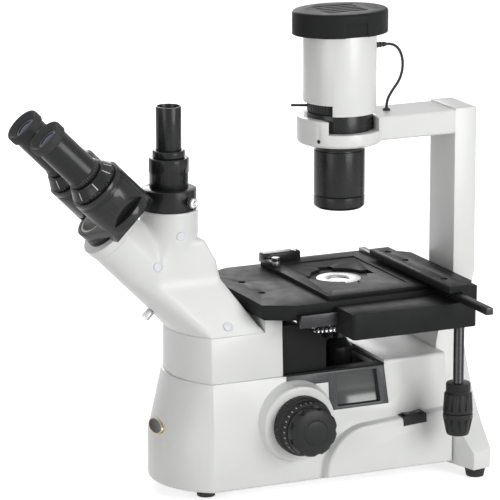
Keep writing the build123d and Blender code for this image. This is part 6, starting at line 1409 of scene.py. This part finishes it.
@dataclass
class Studio:
    """The camera, the soft light and the white floor and backdrop."""

    camera_place: Point = (2.9553, -1.4576, 1.0127)
    camera_azimuth: float = math.radians(65.2)
    camera_height: float = math.radians(13.65)
    focal_length: float = 259.2
    sensor: float = 36.0
    lamps: tuple[tuple[str, Point, float, float], ...] = (
        ("key_light", (1.5, 0.5, 0.6), 0.8, 15.5),
        ("front_light", (1.1, -2.3, 0.7), 1.2, 14.0),
        ("top_light", (0.1, 0.0, 2.4), 1.6, 9.0),
        ("back_light", (-2.2, 0.4, 1.2), 1.2, 20.0),
    )
    lamp_target: Point = (0.0, 0.0, 0.22)
    world_light: float = 0.27
    world_colour: Colour = (0.92, 0.92, 0.92)
    floor_z: float = -0.0004
    floor_reach: float = 6.0
    floor_glow: float = 0.64
    floor_colour: Colour = (0.85, 0.85, 0.85)
    floor_rough: float = 0.9

    def build(self) -> None:
        """Set up the picture."""
        self._camera()
        self._world()
        self._floor()
        for name, origin, size, power in self.lamps:
            data = bpy.data.lights.new(name, "AREA")
            data.size = size
            data.energy = power
            self._aim(name, data, origin, Vector(origin) - Vector(self.lamp_target))
        bpy.context.scene.view_settings.view_transform = "Standard"

    def _aim(self, name: str, data: bpy.types.ID, origin: Point, back: Vector) -> Piece:
        """Hang a camera or a lamp in its place.

        Args:
            name: its name.
            data: the camera or the lamp.
            origin: where it hangs, in metres.
            back: the direction that its back faces.

        Returns:
            The camera or the lamp as an object.
        """
        thing = bpy.data.objects.new(name, data)
        bpy.context.collection.objects.link(thing)
        thing.location = origin
        thing.rotation_mode = "QUATERNION"
        thing.rotation_quaternion = (-back).to_track_quat("-Z", "Y")
        return thing

    def _camera(self) -> None:
        """Put the camera where the photograph was taken from."""
        data = bpy.data.cameras.new("picture")
        data.sensor_width = self.sensor
        data.lens = self.focal_length
        turn, rise = self.camera_azimuth, self.camera_height
        back = Vector((math.sin(turn) * math.cos(rise), -math.cos(turn) * math.cos(rise),
                       math.sin(rise)))
        bpy.context.scene.camera = self._aim("picture", data, self.camera_place, back)

    def _seen_only(self, tree: Tree) -> Socket:
        """Tell the rays that show a thing from those that light others with it.

        Args:
            tree: the tree that asks.

        Returns:
            1 for camera, glossy and transmission rays and 0 for the others.
        """
        rays = tree.nodes.new("ShaderNodeLightPath").outputs
        seen = rays["Is Camera Ray"]
        for kind in ("Is Glossy Ray", "Is Transmission Ray"):
            seen = add_node(tree, "Math", {0: seen, 1: rays[kind]}, "Value", operation="MAXIMUM")
        return seen

    def _world(self) -> None:
        """Light the object softly from all round, and show pure white behind it."""
        world = bpy.data.worlds.new("studio")
        world.use_nodes = True
        tree = world.node_tree
        light = tree.nodes["Background"]
        feed(tree, light, {"Color": (*self.world_colour, 1.0), "Strength": self.world_light})
        shown = add_node(tree, "Background", {"Color": (*WHITE, 1.0), "Strength": 1.0},
                         "Background")
        mix = add_node(tree, "MixShader", {
            "Fac": self._seen_only(tree), 1: light.outputs["Background"], 2: shown,
        }, "Shader")
        feed(tree, tree.nodes["World Output"], {"Surface": mix})
        bpy.context.scene.world = world

    def _floor(self) -> None:
        """Lay a white floor that keeps the object's shadow."""
        deselect()
        bpy.ops.mesh.primitive_plane_add(size=2 * self.floor_reach, location=(0, 0, self.floor_z))
        floor = bpy.context.object
        floor.name = "floor"
        bpy.ops.object.transform_apply(location=True)
        paper = bpy.data.materials.new("white paper")
        paper.use_nodes = True
        tree = paper.node_tree
        glow = add_node(tree, "Math", {0: self._seen_only(tree), 1: self.floor_glow}, "Value",
                        operation="MULTIPLY")
        feed(tree, tree.nodes["Principled BSDF"], {
            "Base Color": (*self.floor_colour, 1.0), "Roughness": self.floor_rough,
            "Emission Color": (*WHITE, 1.0), "Emission Strength": glow,
        })
        floor.data.materials.append(paper)


def main() -> None:
    """Build the microscope from the bench upwards, then the studio round it."""
    logging.basicConfig(level=logging.INFO, format="%(message)s")
    for part in (Screws(), Base(), FocusDrive(), Nosepiece(), Stage(), Lamp(), Head(),
                 Binocular(), Studio()):
        LOG.info("building %s", type(part).__name__)
        part.build()


if __name__ == "__main__":
    main()
